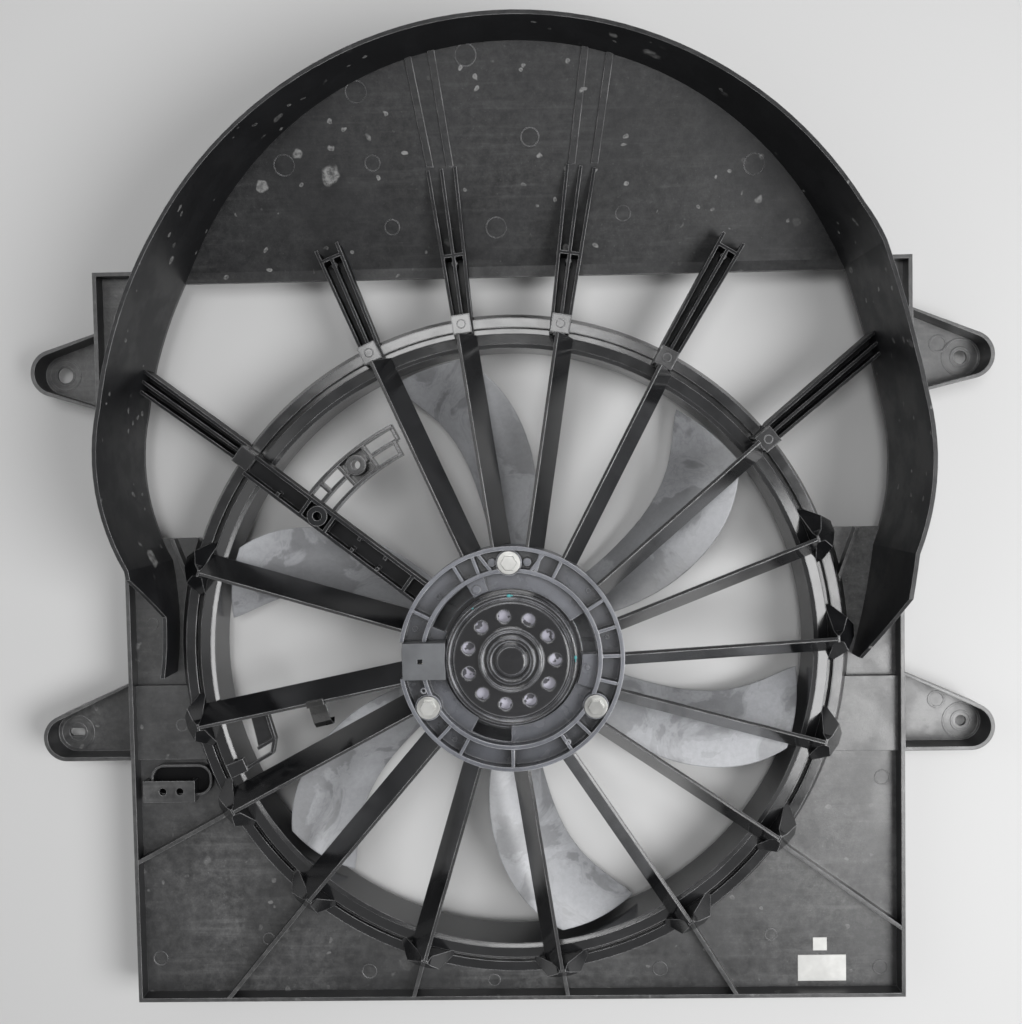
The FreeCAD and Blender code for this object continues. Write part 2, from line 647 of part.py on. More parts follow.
# ---------------------------------------------------------------- 12b side bracket
S_A = -167.7
s_low = float(lip_top)
s_mid = REACH - 46.0
corner, elbow, foot_in = spot(s_mid, S_A + 7.2), spot(s_mid + 6, S_A + 10.0), spot(REACH - 16, S_A + 10.9)


def upright(a, b, wide, z0, z1):
    """A straight upright strip between two points of the plan."""
    strip = box(0, math.hypot(b[0] - a[0], b[1] - a[1]), -wide / 2, wide / 2, z0, z1)
    strip.rotate(V(0, 0, 0), V(0, 0, 1), math.degrees(math.atan2(b[1] - a[1], b[0] - a[0])))
    strip.translate(V(a[0], a[1], 0))
    return strip


holder = fused([
    prism([spot(s_mid, S_A), spot(s_mid + 13, S_A), spot(s_mid + 15, S_A + 8.0), corner],
          s_low + 1.0, s_low + 1.0 + lr),
    upright(spot(s_mid, S_A), corner, lr, s_low + 1.0, s_low + 7.0),
    upright(corner, spot(s_mid + 15, S_A + 8.0), lr, s_low + 1.0, s_low + 7.0),
    upright(corner, elbow, lr, s_low + 0.2, s_low + 7.0),
    upright(elbow, foot_in, lr, s_low + 0.2, s_low + 5.0),
    prism([spot(REACH - 17, S_A + 8.8), spot(REACH - 3, S_A + 8.8), spot(REACH - 3, S_A + 11.4),
           spot(REACH - 17, S_A + 11.4)], s_low - 4.0, s_low + 6.0)])
holder = holder.cut(vane(S_A, val("vane_thick"), vane_deep)).cut(ring_solid)
feature("side_bracket", max(holder.Solids, key=lambda s: s.Volume))

# ---------------------------------------------------------------- 13 mount ring
m_wall = val("mount_wall")
m_floor = MTOP - val("channel_floor")
C_IN = MOUNT - val("channel_wide")
CAN = val("can_radius")
F_BORE = CAN + val("bore_gap")
mount = tube(MOUNT, MOUNT - m_wall, MTOP - val("mount_deep"), MTOP)
mount = [mount, tube(C_IN + m_wall, C_IN, m_floor - m_wall, MTOP),
         tube(MOUNT, F_BORE, m_floor - m_wall, m_floor)]
for a in (153, 110, 62, 16.5, 1, -14, -44.5, -57.5, -90, -119, -133, 121, 73.5, 32):
    mount.append(at_angle(box(C_IN + 1, MOUNT - 1, -1.2, 1.2, m_floor - 1, MTOP - 0.8), a))
BOLT_A = (90.5, 209.5, 330.0)
B_R = MOUNT - val("bolt_inset")
for a in BOLT_A:
    x, y = spot(B_R, a)
    mount.append(rod(val("bolt_boss"), m_floor - m_wall, MTOP - 1.0, x, y))
PADS = ((108.0, 120.8, 56.0, 116.0, 3.0), (-22.0, 2.0, 56.0, -8.0, 1.6))
for a0, a1, r, a, pin in PADS:  # raised pads beside two of the openings, with a pin
    mount.append(sector(C_IN + 1, F_BORE + 1.0, a0, a1, m_floor - 1, m_floor + val("pad_thick")))
    mount.append(rod(pin, m_floor, m_floor + val("pad_thick") + 0.8, *spot(r, a)))
for a0, a1, a in ((101.5, 107.0, 100.4), (77.0, 71.8, 79.7)):  # slanted ribs by the top screw
    (x0, y0), (x1, y1) = spot(C_IN + 1.5, a0), spot(MOUNT - 1.5, a1)
    slant = box(0, math.hypot(x1 - x0, y1 - y0), -1.2, 1.2, m_floor - 1, MTOP - 0.8)
    slant.rotate(V(0, 0, 0), V(0, 0, 1), math.degrees(math.atan2(y1 - y0, x1 - x0)))
    slant.translate(V(x0, y0, 0))
    mount.append(slant)
    mount.append(rod(3.0, m_floor - 1, MTOP - 3.0, *spot(B_R + 1.3, a)))
mount = fused(mount)
for a in BOLT_A:
    x, y = spot(B_R, a)
    mount = mount.cut(rod(val("bolt_radius") + 0.3, 0, 400, x, y))
    mount = mount.cut(rod(val("head_radius") + 0.5, MTOP - 1.0, 400, x, y))
for a0, a1 in ((121.0, 158.0), (3.0, 31.0), (241.0, 269.0)):  # openings into the bore
    mount = mount.cut(sector(C_IN - val("slot_edge"), F_BORE - 3.0, a0, a1, m_floor - 10, MTOP + 5))
P_WIDE = val("plug_wide")
plug_x0 = val("plug_inset") - MOUNT
P_LONG = -plug_x0 - CAN + 0.5
plug_hole = box(-MOUNT - 1.0, plug_x0 + P_LONG + 0.2, -P_WIDE / 2 - 0.2, P_WIDE / 2 + 0.2,
                m_floor - 10.0, MTOP + 20.0)
mount = mount.cut(plug_hole)
feature("motor_mount_ring", max(mount.Solids, key=lambda s: s.Volume))

# ---------------------------------------------------------------- 14 motor flange
f_top = m_floor - m_wall
f_low = f_top - val("flange_thick")
flange = [rod(F_BORE + val("flange_edge"), f_low, f_top)]
f_ear = val("bolt_inset") - m_wall - val("fit_gap")
for a in BOLT_A:
    x, y = spot(B_R, a)
    flange.append(rod(f_ear, f_low, f_top, x, y))
    flange.append(at_angle(box(CAN - 5.0, B_R, -f_ear, f_ear, f_low, f_top), a))
flange = fused(flange).cut(rod(CAN, 0, 400))
for a in BOLT_A:
    x, y = spot(B_R, a)
    flange = flange.cut(rod(val("bolt_radius") + 0.3, 0, 400, x, y))
feature("motor_flange", flange.cut(box(plug_x0 - 1, plug_x0 + P_LONG - 0.0, -P_WIDE / 2 - 1,
                                       P_WIDE / 2 + 1, f_low - 1, f_top + 1)))

# ---------------------------------------------------------------- 15, 16 motor can, cap
c_low = size("can_low")
c_high = size("panel_top") + size("can_rise")
nose = size("bearing_radius") + size("can_wall")
turned("motor_can", [
    (size("bearing_radius"), c_low - size("bearing_wide") / 2),
    (nose, c_low - size("bearing_wide") / 2), (nose, c_low),
    (size("can_radius") - size("cap_round"), c_low),
    (size("can_radius"), c_low + size("cap_round")), (size("can_radius"), c_high),
    (size("can_radius") - size("can_wall"), c_high),
    (size("can_radius") - size("can_wall"), c_low + size("can_wall") + size("cap_round")),
    (size("can_radius") - size("cap_round") - size("can_wall"), c_low + size("can_wall")),
    (nose, c_low + size("can_wall")), (nose, c_low + size("bearing_wide") / 2),
    (size("bearing_radius"), c_low + size("bearing_wide") / 2)])

cap_low = c_high
cap_top = c_high + size("cap_thick")
cup_top = cap_top + size("cup_rise")
cap_edge = size("can_radius") - size("cap_rim")
cap_dome = cap_edge - size("cap_groove")
cap = turned("motor_end_cap", [
    (size("bearing_radius"), cap_low - size("bearing_wide") + size("cup_rise")),
    (nose, cap_low - size("bearing_wide") + size("cup_rise")), (nose, cap_low),
    (size("can_radius"), cap_low), (size("can_radius"), cap_low + size("cap_thick") / 4),
    (size("can_radius") - 1.0, cap_low + size("cap_thick") / 2),
    (cap_edge, cap_low + size("cap_thick") / 2), (cap_edge, cap_low + size("cap_thick") / 4),
    (cap_dome, cap_low + size("cap_thick") / 4), (cap_dome, cap_top - size("cap_round") / 2),
    (cap_dome - size("cap_round") / 2, cap_top), (size("cup_radius"), cap_top),
    (size("cup_radius"), cup_top - 1.0), (size("cup_radius") - 1.0, cup_top),
    (size("cup_radius") - 2.4, cup_top), (size("cup_radius") - 2.4, cap_top + 1.0),
    (size("cup_inner"), cap_top + 1.0), (size("cup_inner"), cup_top - 1.5),
    (size("bearing_radius"), cup_top - 1.5)])
vent = new_sketch(cap, "VentSketch", "XY_Plane", cap_top)
circle(vent, size("vent_circle") / 2, 0.0, size("vent_bore") / 2)
vents = pocket(cap, vent, size("cap_thick") * 2, "Vent")
fan_of_vents = cap.newObject("PartDesign::PolarPattern", "VentPattern")
fan_of_vents.Originals = [vents]
fan_of_vents.Axis = (vent, ["N_Axis"])
fan_of_vents.Angle = 360
fan_of_vents.Occurrences = 11
cap.Tip = fan_of_vents
doc.recompute()

CAP_TOP = float(cap_top)
B_W = val("bearing_wide")
B_RAD = val("bearing_radius")
SH = val("shaft_radius")
gap = val("running_gap")
C_LOW = val("can_low")
C_HIGH = float(c_high)
rear_low = C_HIGH - B_W + val("cup_rise")

seat = size("bearing_radius")
turned("rear_bearing_plug", [
    (0.0, cap_top), (seat, cap_top), (seat, cap_top + 1.0), (size("plug_radius"), cap_top + 1.0),
    (size("plug_radius"), cap_top + 3.0), (size("plug_radius") - 1.0, cap_top + 3.8),
    (0.0, cap_top + 3.8)])

feature("bearings", group([
    tube(B_RAD, SH + gap / 2, C_LOW - B_W / 2, C_LOW + B_W / 2),
    tube(B_RAD, SH + gap / 2, rear_low, CAP_TOP)]))

# ---------------------------------------------------------------- 17 motor inside
# From the rear bearing down: commutator, brush card, coil ends and core.
com_high = rear_low - 1.2
com_low = com_high - val("commutator_long")
br_h, br_w, br_l = val("brush_high"), val("brush_wide"), val("brush_long")
br_z = (com_low + com_high) / 2.0
br_r = val("commutator_radius") + gap
card_low = br_z - br_h / 2 - val("card_thick")
coil = val("coil_long")
core_high = card_low - 2.0 - coil
core_low = core_high - val("core_long")
mag_in = CAN - val("can_wall") - val("magnet_thick")
mags = []
for a in (90.0, 270.0):
    mags.append(sector(CAN - val("can_wall"), mag_in, a - 65, a + 65, core_low - 3, core_high + 3))
feature("magnets", group(mags))
core_r = mag_in - val("air_gap")
core = doc.addObject("Part::Cut", "ArmatureCore")
core_out = doc.addObject("Part::Cylinder", "CoreOutside")
core_bore = doc.addObject("Part::Cylinder", "CoreBore")
core_out.setExpression("Radius", (size("can_radius") - size("can_wall") - size("magnet_thick")
                                  - size("air_gap")).text)
core_bore.setExpression("Radius", "Sizes.shaft_radius")
for item in (core_out, core_bore):
    item.setExpression("Height", "Sizes.core_long")
    item.Placement = FreeCAD.Placement(V(0, 0, core_low), FreeCAD.Rotation())
core.Base, core.Tool = core_out, core_bore
keep(core, "armature_core")
doc.recompute()
coil_r = core_r - val("coil_step")
coil_in = val("commutator_radius") + 1.0
feature("armature_windings", group([
    tube(coil_r, coil_in, core_low - coil, core_low),
    tube(coil_r, coil_in, core_high, core_high + coil)]))
com = doc.addObject("Part::Feature", "Commutator")
com.Shape = tube(val("commutator_radius"), SH, com_low, com_high)
keep(com, "commutator")

card = tube(CAN - val("can_wall"), val("commutator_radius") + 2.0, card_low,
            card_low + val("card_thick"))
for a in (0.0, 180.0):
    cage = box(br_r + 2.0, br_r + br_l + val("spring_long") + 1.0, -br_w / 2 - 1.5, br_w / 2 + 1.5,
               card_low + val("card_thick"), br_z + br_h / 2 + 1.5)
    cage = cage.cut(box(br_r, br_r + br_l + val("spring_long"), -br_w / 2, br_w / 2, card_low
                        + val("card_thick") - 1, br_z + br_h / 2))
    card = card.fuse(at_angle(cage, a))
feature("brush_card", card.removeSplitter())
brush = box(br_r, br_r + br_l, -br_w / 2, br_w / 2, br_z - br_h / 2, br_z + br_h / 2)
feature("brushes", group([at_angle(brush, a) for a in (0.0, 180.0)]))
coil_end = br_r + br_l + val("spring_long")
spring = Part.makeCylinder(1.8, coil_end - br_r - br_l, V(br_r + br_l, 0, br_z), V(1, 0, 0))
feature("brush_springs", group([at_angle(spring, a) for a in (0.0, 180.0)]))

# ---------------------------------------------------------------- 18 shaft
shaft_top = CAP_TOP - 1.0
shaft = rod(SH, val("hub_low") - 6.0, shaft_top)
feature("motor_shaft", shaft)

# ---------------------------------------------------------------- 19 fan hub
h_low = val("hub_low")
h_high = h_low + val("hub_deep")
HUB = val("hub_radius")
h_wall = val("hub_wall")
hub_bits = [tube(HUB, HUB - h_wall, h_low, h_high), tube(HUB, SH, h_low, h_low + h_wall),
            tube(val("boss_outer"), SH, h_low - 3.0, h_low + 6.0)]
for i in range(12):
    hub_bits.append(at_angle(box(val("boss_outer") + 6.0, HUB - 1, -1.2, 1.2, h_low + 1,
                                 h_low + h_wall + 3.5), 30.0 * i))
hub = fused(hub_bits)
feature("fan_hub", hub)
nut = prism([spot(8.0, 60 * i) for i in range(6)], h_low - 8.0, h_low - 3.0).cut(
    rod(SH, -10, 100))
feature("hub_nut", nut)

# ---------------------------------------------------------------- 20 blades
TIPR = float(ring_bore) - val("tip_gap")
BT = val("blade_thick")
# radius share of the span, leading angle, trailing angle
BLADE = [(0.0, 43.2, 18.0), (0.25, 42.0, 19.5), (0.5, 43.8, 23.3), (0.75, 48.2, 29.3),
         (0.92, 52.6, 35.2), (1.0, 54.2, 39.0)]


def blade_section(share, lead, trail):
    """A closed strip on the cylinder of its radius, thick in the middle."""
    r = HUB - 1.5 + (TIPR - HUB + 1.5) * share
    low = h_low + val("blade_inset") + val("tip_lift") * share
    high = low + val("blade_pitch") + (val("tip_pitch") - val("blade_pitch")) * share
    upper, lower = [], []
    for i in range(7):
        s = i / 6.0
        angle = lead + (trail - lead) * s
        z = low + (high - low) * s + val("blade_camber") * math.sin(math.pi * s)
        thick = BT * (0.35 + 0.65 * math.sin(math.pi * s))
        x, y = spot(r, angle)
        upper.append(V(x, y, z + thick / 2.0))
        lower.append(V(x, y, z - thick / 2.0))
    top = Part.BSplineCurve()
    top.interpolate(upper)
    under = Part.BSplineCurve()
    under.interpolate(list(reversed(lower)))
    return Part.Wire([top.toShape(), Part.makeLine(upper[-1], lower[-1]), under.toShape(),
                      Part.makeLine(lower[0], upper[0])])


one = Part.makeLoft([blade_section(*row) for row in BLADE], True, False)
trim = rod(TIPR - 0.2, -50, 200).cut(rod(HUB, -51, 201))
one = one.common(trim)
blades = [at_angle(one, 60.0 * i) for i in range(6)]
feature("fan_blades", group(blades))

# ---------------------------------------------------------------- 21 bolts and nuts
bolts, nuts = [], []
HEAD = MTOP - 1.0
for a in BOLT_A:
    x, y = spot(B_R, a)
    bolt = [rod(val("bolt_radius"), f_low - val("nut_high"), HEAD, x, y),
            rod(val("head_radius"), HEAD, HEAD + val("head_flange"), x, y)]
    hexa = prism([spot(val("hex_across") / math.sqrt(3), 60 * i) for i in range(6)],
                 HEAD + val("head_flange") - 0.1, HEAD + val("hex_high"))
    hexa.translate(V(x, y, 0))
    bolts.append(fused(bolt + [hexa]))
    nut = prism([spot(val("hex_across") / math.sqrt(3), 60 * i) for i in range(6)],
                f_low - val("nut_high"), f_low)
    nut.translate(V(x, y, 0))
    nuts.append(nut.cut(rod(val("bolt_radius"), 0, 400, x, y)))
feature("mount_bolts", group(bolts))
feature("flange_nuts", group(nuts))

# ---------------------------------------------------------------- 22 connector
p_low = f_low
p_top = MTOP + val("plug_rise")
pw = val("plug_wall")
plug = box(plug_x0, plug_x0 + P_LONG, -P_WIDE / 2, P_WIDE / 2, p_low, p_top)
plug = plug.cut(box(plug_x0 - 1, plug_x0 + P_LONG - 10, -P_WIDE / 2 + pw, P_WIDE / 2 - pw,
                    p_low + pw, p_top - pw))
plug = plug.cut(box(plug_x0 + 11, plug_x0 + 14.5, -1.7, 1.7, p_top - pw - 1, p_top + 1))
plug = plug.cut(rod(CAN, 0, 400)).cut(hood_wall)
feature("connector_housing", plug)
pin_z = (p_low + p_top) / 2.0
bp = val("blade_pin")
wall_x = plug_x0 + P_LONG - 10
pins = [box(plug_x0 + 6, wall_x, y - bp / 2, y + bp / 2, pin_z - 0.4, pin_z + 0.4)
        for y in (-6.0, 6.0)]
feature("connector_terminals", group(pins))

# ---------------------------------------------------------------- 23 plate ribs
RIBS = [(-150.3, -151.9), (-129.6, -129.8), (-106.8, -106.0), (-82.3, -80.6), (-58.4, -58.6),
        (-37.5, -36.0)]  # angle on the ring and direction
inner_field = prism(INNER, -1, 400)
ribs = []
for angle, turn in RIBS:
    sx, sy = spot(BASE - 8.0, angle)
    bar = box(0, FAR, -1.5, 1.5, TOP, TOP + val("lip_height"))
    bar.rotate(V(0, 0, 0), V(0, 0, 1), turn)
    bar.translate(V(sx, sy, 0))
    bar = bar.common(inner_field).cut(ring_solid)
    for foot in feet:
        bar = bar.cut(foot)
    ribs.append(max(bar.Solids, key=lambda s: s.Volume))
feature("plate_ribs", group(ribs))

# ---------------------------------------------------------------- 24 ear pads
P_H = val("pad_rise")
HW = float(half_width)
pad_mid = val("ear_lower_y") + 11.5
pad_y0, pad_y1 = pad_mid - val("pad_high") / 2, pad_mid + val("pad_high") / 2
pads = []
for x0, x1 in ((-HW, val("pad_long") - HW), (HW - val("pad_long"), HW)):
    one = box(x0, x1, pad_y0, pad_y1, TOP, TOP + P_H).common(inner_field).cut(ring_solid)
    for foot in feet:
        one = one.cut(foot)
    pads.append(max(one.cut(hood_wall).Solids, key=lambda s: s.Volume))
feature("ear_pads", group(pads))

# Low ribs that close the windows' lower corners between the ring and the hood.
gussets = []
for a0, a1, out in ((9.5, 18.8, 22.0), (169.5, 161.6, 18.0)):
    x0, y0 = spot(BASE - 8.0, a0)
    x1, y1 = spot(BASE + out, a1)
    long = math.hypot(x1 - x0, y1 - y0)
    bar = box(0, long, -1.5, 1.5, TOP, TOP + val("gusset_high"))
    bar.rotate(V(0, 0, 0), V(0, 0, 1), math.degrees(math.atan2(y1 - y0, x1 - x0)))
    bar.translate(V(x0, y0, 0))
    bar = bar.cut(ring_solid).cut(hood_wall).cut(window_column)
    for foot in feet:
        bar = bar.cut(foot)
    gussets.append(max(bar.Solids, key=lambda s: s.Volume))
feature("gusset_ribs", group(gussets))

# ---------------------------------------------------------------- 25 ears
E_W = val("ear_wall")
ear_top = panel_top + size("ear_rise")
ear_low = ear_top - size("ear_deep")
ear_x = half_width + size("ear_reach")


def ear_outline(cx, cy, radius, root_a, root_b):
    """Angles at which lines from the two root corners touch the round end."""
    angles = []
    for (px, py), sign in ((root_a, -1.0), (root_b, 1.0)):
        away = math.hypot(px - cx, py - cy)
        angles.append(math.atan2(py - cy, px - cx) % (2 * math.pi)
                      + sign * math.acos(min(1.0, radius / away)))
    return angles


def ear(label, side_sign, cy, root_x, y_high, y_low, hole_name):
    cx = float(ear_x)
    cy_size, cy = cy, float(cy)
    body = new_body(label)
    outline = new_sketch(body, label + "Outline", "XY_Plane", ear_low)

    def draw(sketch, radius, inset_by, near_x):
        high = (near_x, y_high - inset_by)
        low = (near_x, y_low + inset_by)
        upper, lower = ear_outline(cx, cy, radius, high, low)
        lower -= 2 * math.pi
        if side_sign < 0:
            upper, lower = math.pi - lower, math.pi - upper
        centre = V(side_sign * cx, cy, 0)
        ends = [centre + V(math.cos(a), math.sin(a), 0) * radius for a in (upper, lower)]
        first, last = (high, low) if side_sign > 0 else (low, high)
        first = V(side_sign * first[0], first[1], 0)
        last = V(side_sign * last[0], last[1], 0)
        sketch.addGeometry(Part.LineSegment(first, ends[0]), False)
        sketch.addGeometry(Part.ArcOfCircle(Part.Circle(centre, V(0, 0, 1), radius),
                                            lower, upper), False)
        sketch.addGeometry(Part.LineSegment(ends[1], last), False)
        sketch.addGeometry(Part.LineSegment(last, first), False)
        for one, two in (((0, 2), (1, 2)), ((1, 1), (2, 1)), ((2, 2), (3, 1)), ((3, 2), (0, 1))):
            sketch.addConstraint(Sketcher.Constraint("Coincident", *one, *two))

    draw(outline, val("ear_end"), 0.0, root_x)
    pad(body, outline, ear_top - ear_low)
    hollow = new_sketch(body, label + "Hollow", "XY_Plane", ear_top)
    draw(hollow, val("ear_end") - E_W, E_W, root_x + E_W)
    pocket(body, hollow, ear_top - ear_low - size("ear_floor"), "Hollow")
    hole = new_sketch(body, label + "HoleSketch", "XY_Plane", ear_low + size("ear_floor"))
    if hole_name == "ear_slot":
        r = val("ear_slot")
        gap_x = val("ear_slot_long") / 2.0 - r
        for sign in (1.0, -1.0):
            hole.addGeometry(Part.ArcOfCircle(
                Part.Circle(V(side_sign * cx + sign * gap_x, cy, 0), V(0, 0, 1), r),
                -math.pi / 2 if sign > 0 else math.pi / 2,
                math.pi / 2 if sign > 0 else 3 * math.pi / 2), False)
        hole.addGeometry(Part.LineSegment(V(side_sign * cx - gap_x, cy + r, 0),
                                          V(side_sign * cx + gap_x, cy + r, 0)), False)
        hole.addGeometry(Part.LineSegment(V(side_sign * cx - gap_x, cy - r, 0),
                                          V(side_sign * cx + gap_x, cy - r, 0)), False)
    else:
        circle(hole, ear_x * side_sign, cy_size, size(hole_name))
    pocket(body, hole, size("ear_floor") * 2, "Hole")
    return body


L_SH = float(left_shoulder)
R_SH = float(right_shoulder)
UP, DOWN = size("ear_upper_y"), size("ear_lower_y")
UP_Y, DOWN_Y = float(UP), float(DOWN)
ear("ear_left_upper", -1.0, UP, L_SH, UP_Y + 31.0, UP_Y - 30.0, "ear_hole")
ear("ear_left_lower", -1.0, DOWN, HW, DOWN_Y + 44.0, DOWN_Y - 18.5, "ear_slot")
ear("ear_right_upper", 1.0, UP, R_SH, UP_Y + 38.0, UP_Y - 30.0, "ear_hole_right")
ear("ear_right_lower", 1.0, DOWN, HW, DOWN_Y + 44.0, DOWN_Y - 18.5, "ear_small_hole")

# ---------------------------------------------------------------- 26 small pieces
C_R, C_W, C_T = val("clip_at"), val("clip_wide"), val("clip_thick")
clip_z = HUB_TOP - (C_R - MOUNT) * drop
fold = val("vane_thick") / 2.0 + C_T / 2.0 + 0.1
course = [(-fold, -7.0), (-fold, fold + 0.4), (fold, fold + 0.4), (fold, -4.0), (9.0, -5.0),
          (15.5, -7.0), (19.5, -11.0), (20.0, -16.0), (17.0, -20.0)]
# Spring clip folded over the top edge of the lower left vane, with a curled tongue.
clip_bits = []
for (y0, z0), (y1, z1) in zip(course, course[1:]):
    run = math.hypot(y1 - y0, z1 - z0)
    ny, nz = -(z1 - z0) / run * C_T / 2.0, (y1 - y0) / run * C_T / 2.0
    flat = [V(0, y0 + ny, z0 + nz), V(0, y1 + ny, z1 + nz), V(0, y1 - ny, z1 - nz),
            V(0, y0 - ny, z0 - nz)]
    clip_bits.append(Part.Face(Part.makePolygon(flat + [flat[0]])).extrude(V(C_W, 0, 0)))
    clip_bits.append(Part.makeCylinder(C_T / 2.0, C_W, V(0, y1, z1), V(1, 0, 0)))
clip_shape = fused(clip_bits)
clip_shape.translate(V(C_R - C_W / 2.0, 0, clip_z + 0.2))
clip_shape = at_angle(clip_shape, -167.7).cut(vane(-167.7, val("vane_thick"), vane_deep))
feature("wire_clip", max(clip_shape.Solids, key=lambda s: s.Volume))

tab_x0 = 8.0 - HW
tab_x1 = tab_x0 + val("tab_long")
tab_y1 = pad_y0 - 16.0
tab_y0 = tab_y1 - val("tab_wide")
tab_top = TOP + val("tab_high")
tab = fused([box(tab_x0, tab_x1, tab_y0, tab_y1, tab_top - 3.0, tab_top),
             box(tab_x0, tab_x0 + 3.0, tab_y0, tab_y1, TOP, tab_top),
             box(tab_x1 - 3.0, tab_x1, tab_y0, tab_y1, TOP, tab_top)])
for x in (tab_x0 + 15.5, tab_x0 + 29.0):
    tab = tab.cut(rod(val("tab_hole"), 0, 100, x, (tab_y0 + tab_y1) / 2))
tab = tab.cut(ring_solid)
feature("harness_tab", tab)

label_x = HW - 62.0
label_y = -BASE - val("bottom_margin") + 18.0
feature("blank_labels", group([
    box(label_x - val("label_long") / 2, label_x + val("label_long") / 2,
        label_y - val("label_high") / 2, label_y + val("label_high") / 2, TOP,
        TOP + val("label_thick")),
    box(label_x - 7.0, label_x + 4.0, label_y + 14.0, label_y + 24.5, TOP,
        TOP + val("label_thick"))]))

# ---------------------------------------------------------------- check and write
# The origin is the middle of the whole cowl's footprint, on the radiator side.
middle = (max(item.Shape.BoundBox.YMax for item in PARTS)
          + min(item.Shape.BoundBox.YMin for item in PARTS)) / 2.0
shift = FreeCAD.Placement(V(0, -middle, 0), FreeCAD.Rotation())
for item in PARTS:
    item.Placement = shift.multiply(item.Placement)
doc.recompute()
for item in doc.Objects:
    state = list(item.State)
    if "Invalid" in state or "Error" in state:
        raise RuntimeError("failed object: %s %s" % (item.Label, state))
for item in PARTS:
    shape = item.Shape
    if shape.isNull() or not shape.isValid() or not shape.Solids:
        raise RuntimeError("bad shape: " + item.Label)
os.makedirs("parts", exist_ok=True)
for item in PARTS:
    item.Shape.exportStep("parts/%s.step" % item.Label)
print("pieces:", len(PARTS), "fan axis at y =", -middle)
print("ladder boss top", B1_TOP, "tab", tab_x0, (tab_y0 + tab_y1) / 2, "ear", float(ear_x))
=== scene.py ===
"""Radiator fan shroud: finishes, small moulded details, stage and camera."""
import json
import math

import bmesh
import bpy
from bpy.props import FloatProperty, FloatVectorProperty, PointerProperty
from mathutils import Matrix, Vector


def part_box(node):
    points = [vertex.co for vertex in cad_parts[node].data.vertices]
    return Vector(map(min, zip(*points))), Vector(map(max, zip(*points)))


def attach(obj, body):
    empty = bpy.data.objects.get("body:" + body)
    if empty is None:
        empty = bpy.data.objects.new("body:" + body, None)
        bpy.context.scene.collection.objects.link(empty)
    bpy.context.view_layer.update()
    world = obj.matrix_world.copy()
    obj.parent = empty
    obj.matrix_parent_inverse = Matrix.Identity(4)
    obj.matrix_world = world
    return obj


bl_info = {
    "name": "Radiator Fan Shroud",
    "version": (1, 0, 0),
    "blender": (4, 5, 0),
    "location": "View3D > Sidebar > Shroud",
    "description": "Finishes, small moulded details, stage and camera for a radiator fan shroud",
    "category": "Object",
}

MM = 0.001
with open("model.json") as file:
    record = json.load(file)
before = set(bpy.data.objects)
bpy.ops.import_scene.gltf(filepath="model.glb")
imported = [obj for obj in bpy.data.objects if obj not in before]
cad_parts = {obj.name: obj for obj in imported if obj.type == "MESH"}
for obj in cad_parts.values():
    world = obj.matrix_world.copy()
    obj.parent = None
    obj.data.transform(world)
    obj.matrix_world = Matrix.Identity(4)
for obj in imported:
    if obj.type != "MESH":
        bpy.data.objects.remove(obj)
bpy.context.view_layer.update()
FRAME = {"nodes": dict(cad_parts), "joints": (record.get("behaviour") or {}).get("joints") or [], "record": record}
NODES = FRAME["nodes"]
AXIS = Vector(FRAME["joints"][0]["pos_m"])
SLOTS = {}
for part in FRAME["record"]["subparts"]:
    SLOTS.setdefault(part["material_slot"], []).append(part["node"])

# Nodes that share a finish.
EARS = ("ear_left_upper", "ear_left_lower", "ear_right_upper", "ear_right_lower")
PLATE = ("shroud_panel", "perimeter_wall", "ring_collar", "plate_ribs", "gusset_ribs", "ear_pads",
         *EARS, "harness_tab")
HOOD = ("hood_wall", "hood_roof")
ARMS = ("arm_channels", "ladder_arm")


# ------------------------------------------------------------------ settings
def colour(name, description, default):
    """A colour setting."""
    return FloatVectorProperty(name=name, description=description, default=default,
                               subtype="COLOR", size=3, min=0.0, max=1.0)


class ShroudFinish(bpy.types.PropertyGroup):
    """Colours of the mouldings, the motor and the fan."""
    nylon: colour("Cowl nylon", "Black glass-filled nylon of the cowl", (0.011, 0.0113, 0.0125))
    nylon_dust: colour("Cowl dust", "Dry dust that lies on the cowl", (0.31, 0.31, 0.308))
    # Pale tone of rubbed edges, also used as a painted highlight along every edge of the cowl.
    bare_edge_and_highlight: colour("Bare edges and painted highlight", "Where handling has rubbed the nylon pale", (0.62, 0.62, 0.63))
    ring_nylon: colour("Motor ring nylon", "Blue-grey nylon round the motor", (0.135, 0.141, 0.162))
    enamel: colour("Motor enamel", "Black enamel of the motor", (0.01, 0.01, 0.012))
    blade: colour("Fan plastic", "Charcoal plastic of hub and blades", (0.03, 0.031, 0.032))
    blade_dust: colour("Fan dust", "Grey film of road dust on the blades", (0.56, 0.57, 0.6))
    zinc: colour("Zinc plate", "Bright plate on screws and nuts", (0.5, 0.5, 0.485))
    paint: colour("Test paint", "Dabs of paint left by an inspector", (0.07, 0.34, 0.36))
    plug: colour("Power socket", "Grey nylon of the power socket", (0.115, 0.12, 0.128))
    label: colour("Blank label", "White film of the two blank labels", (0.72, 0.72, 0.7))


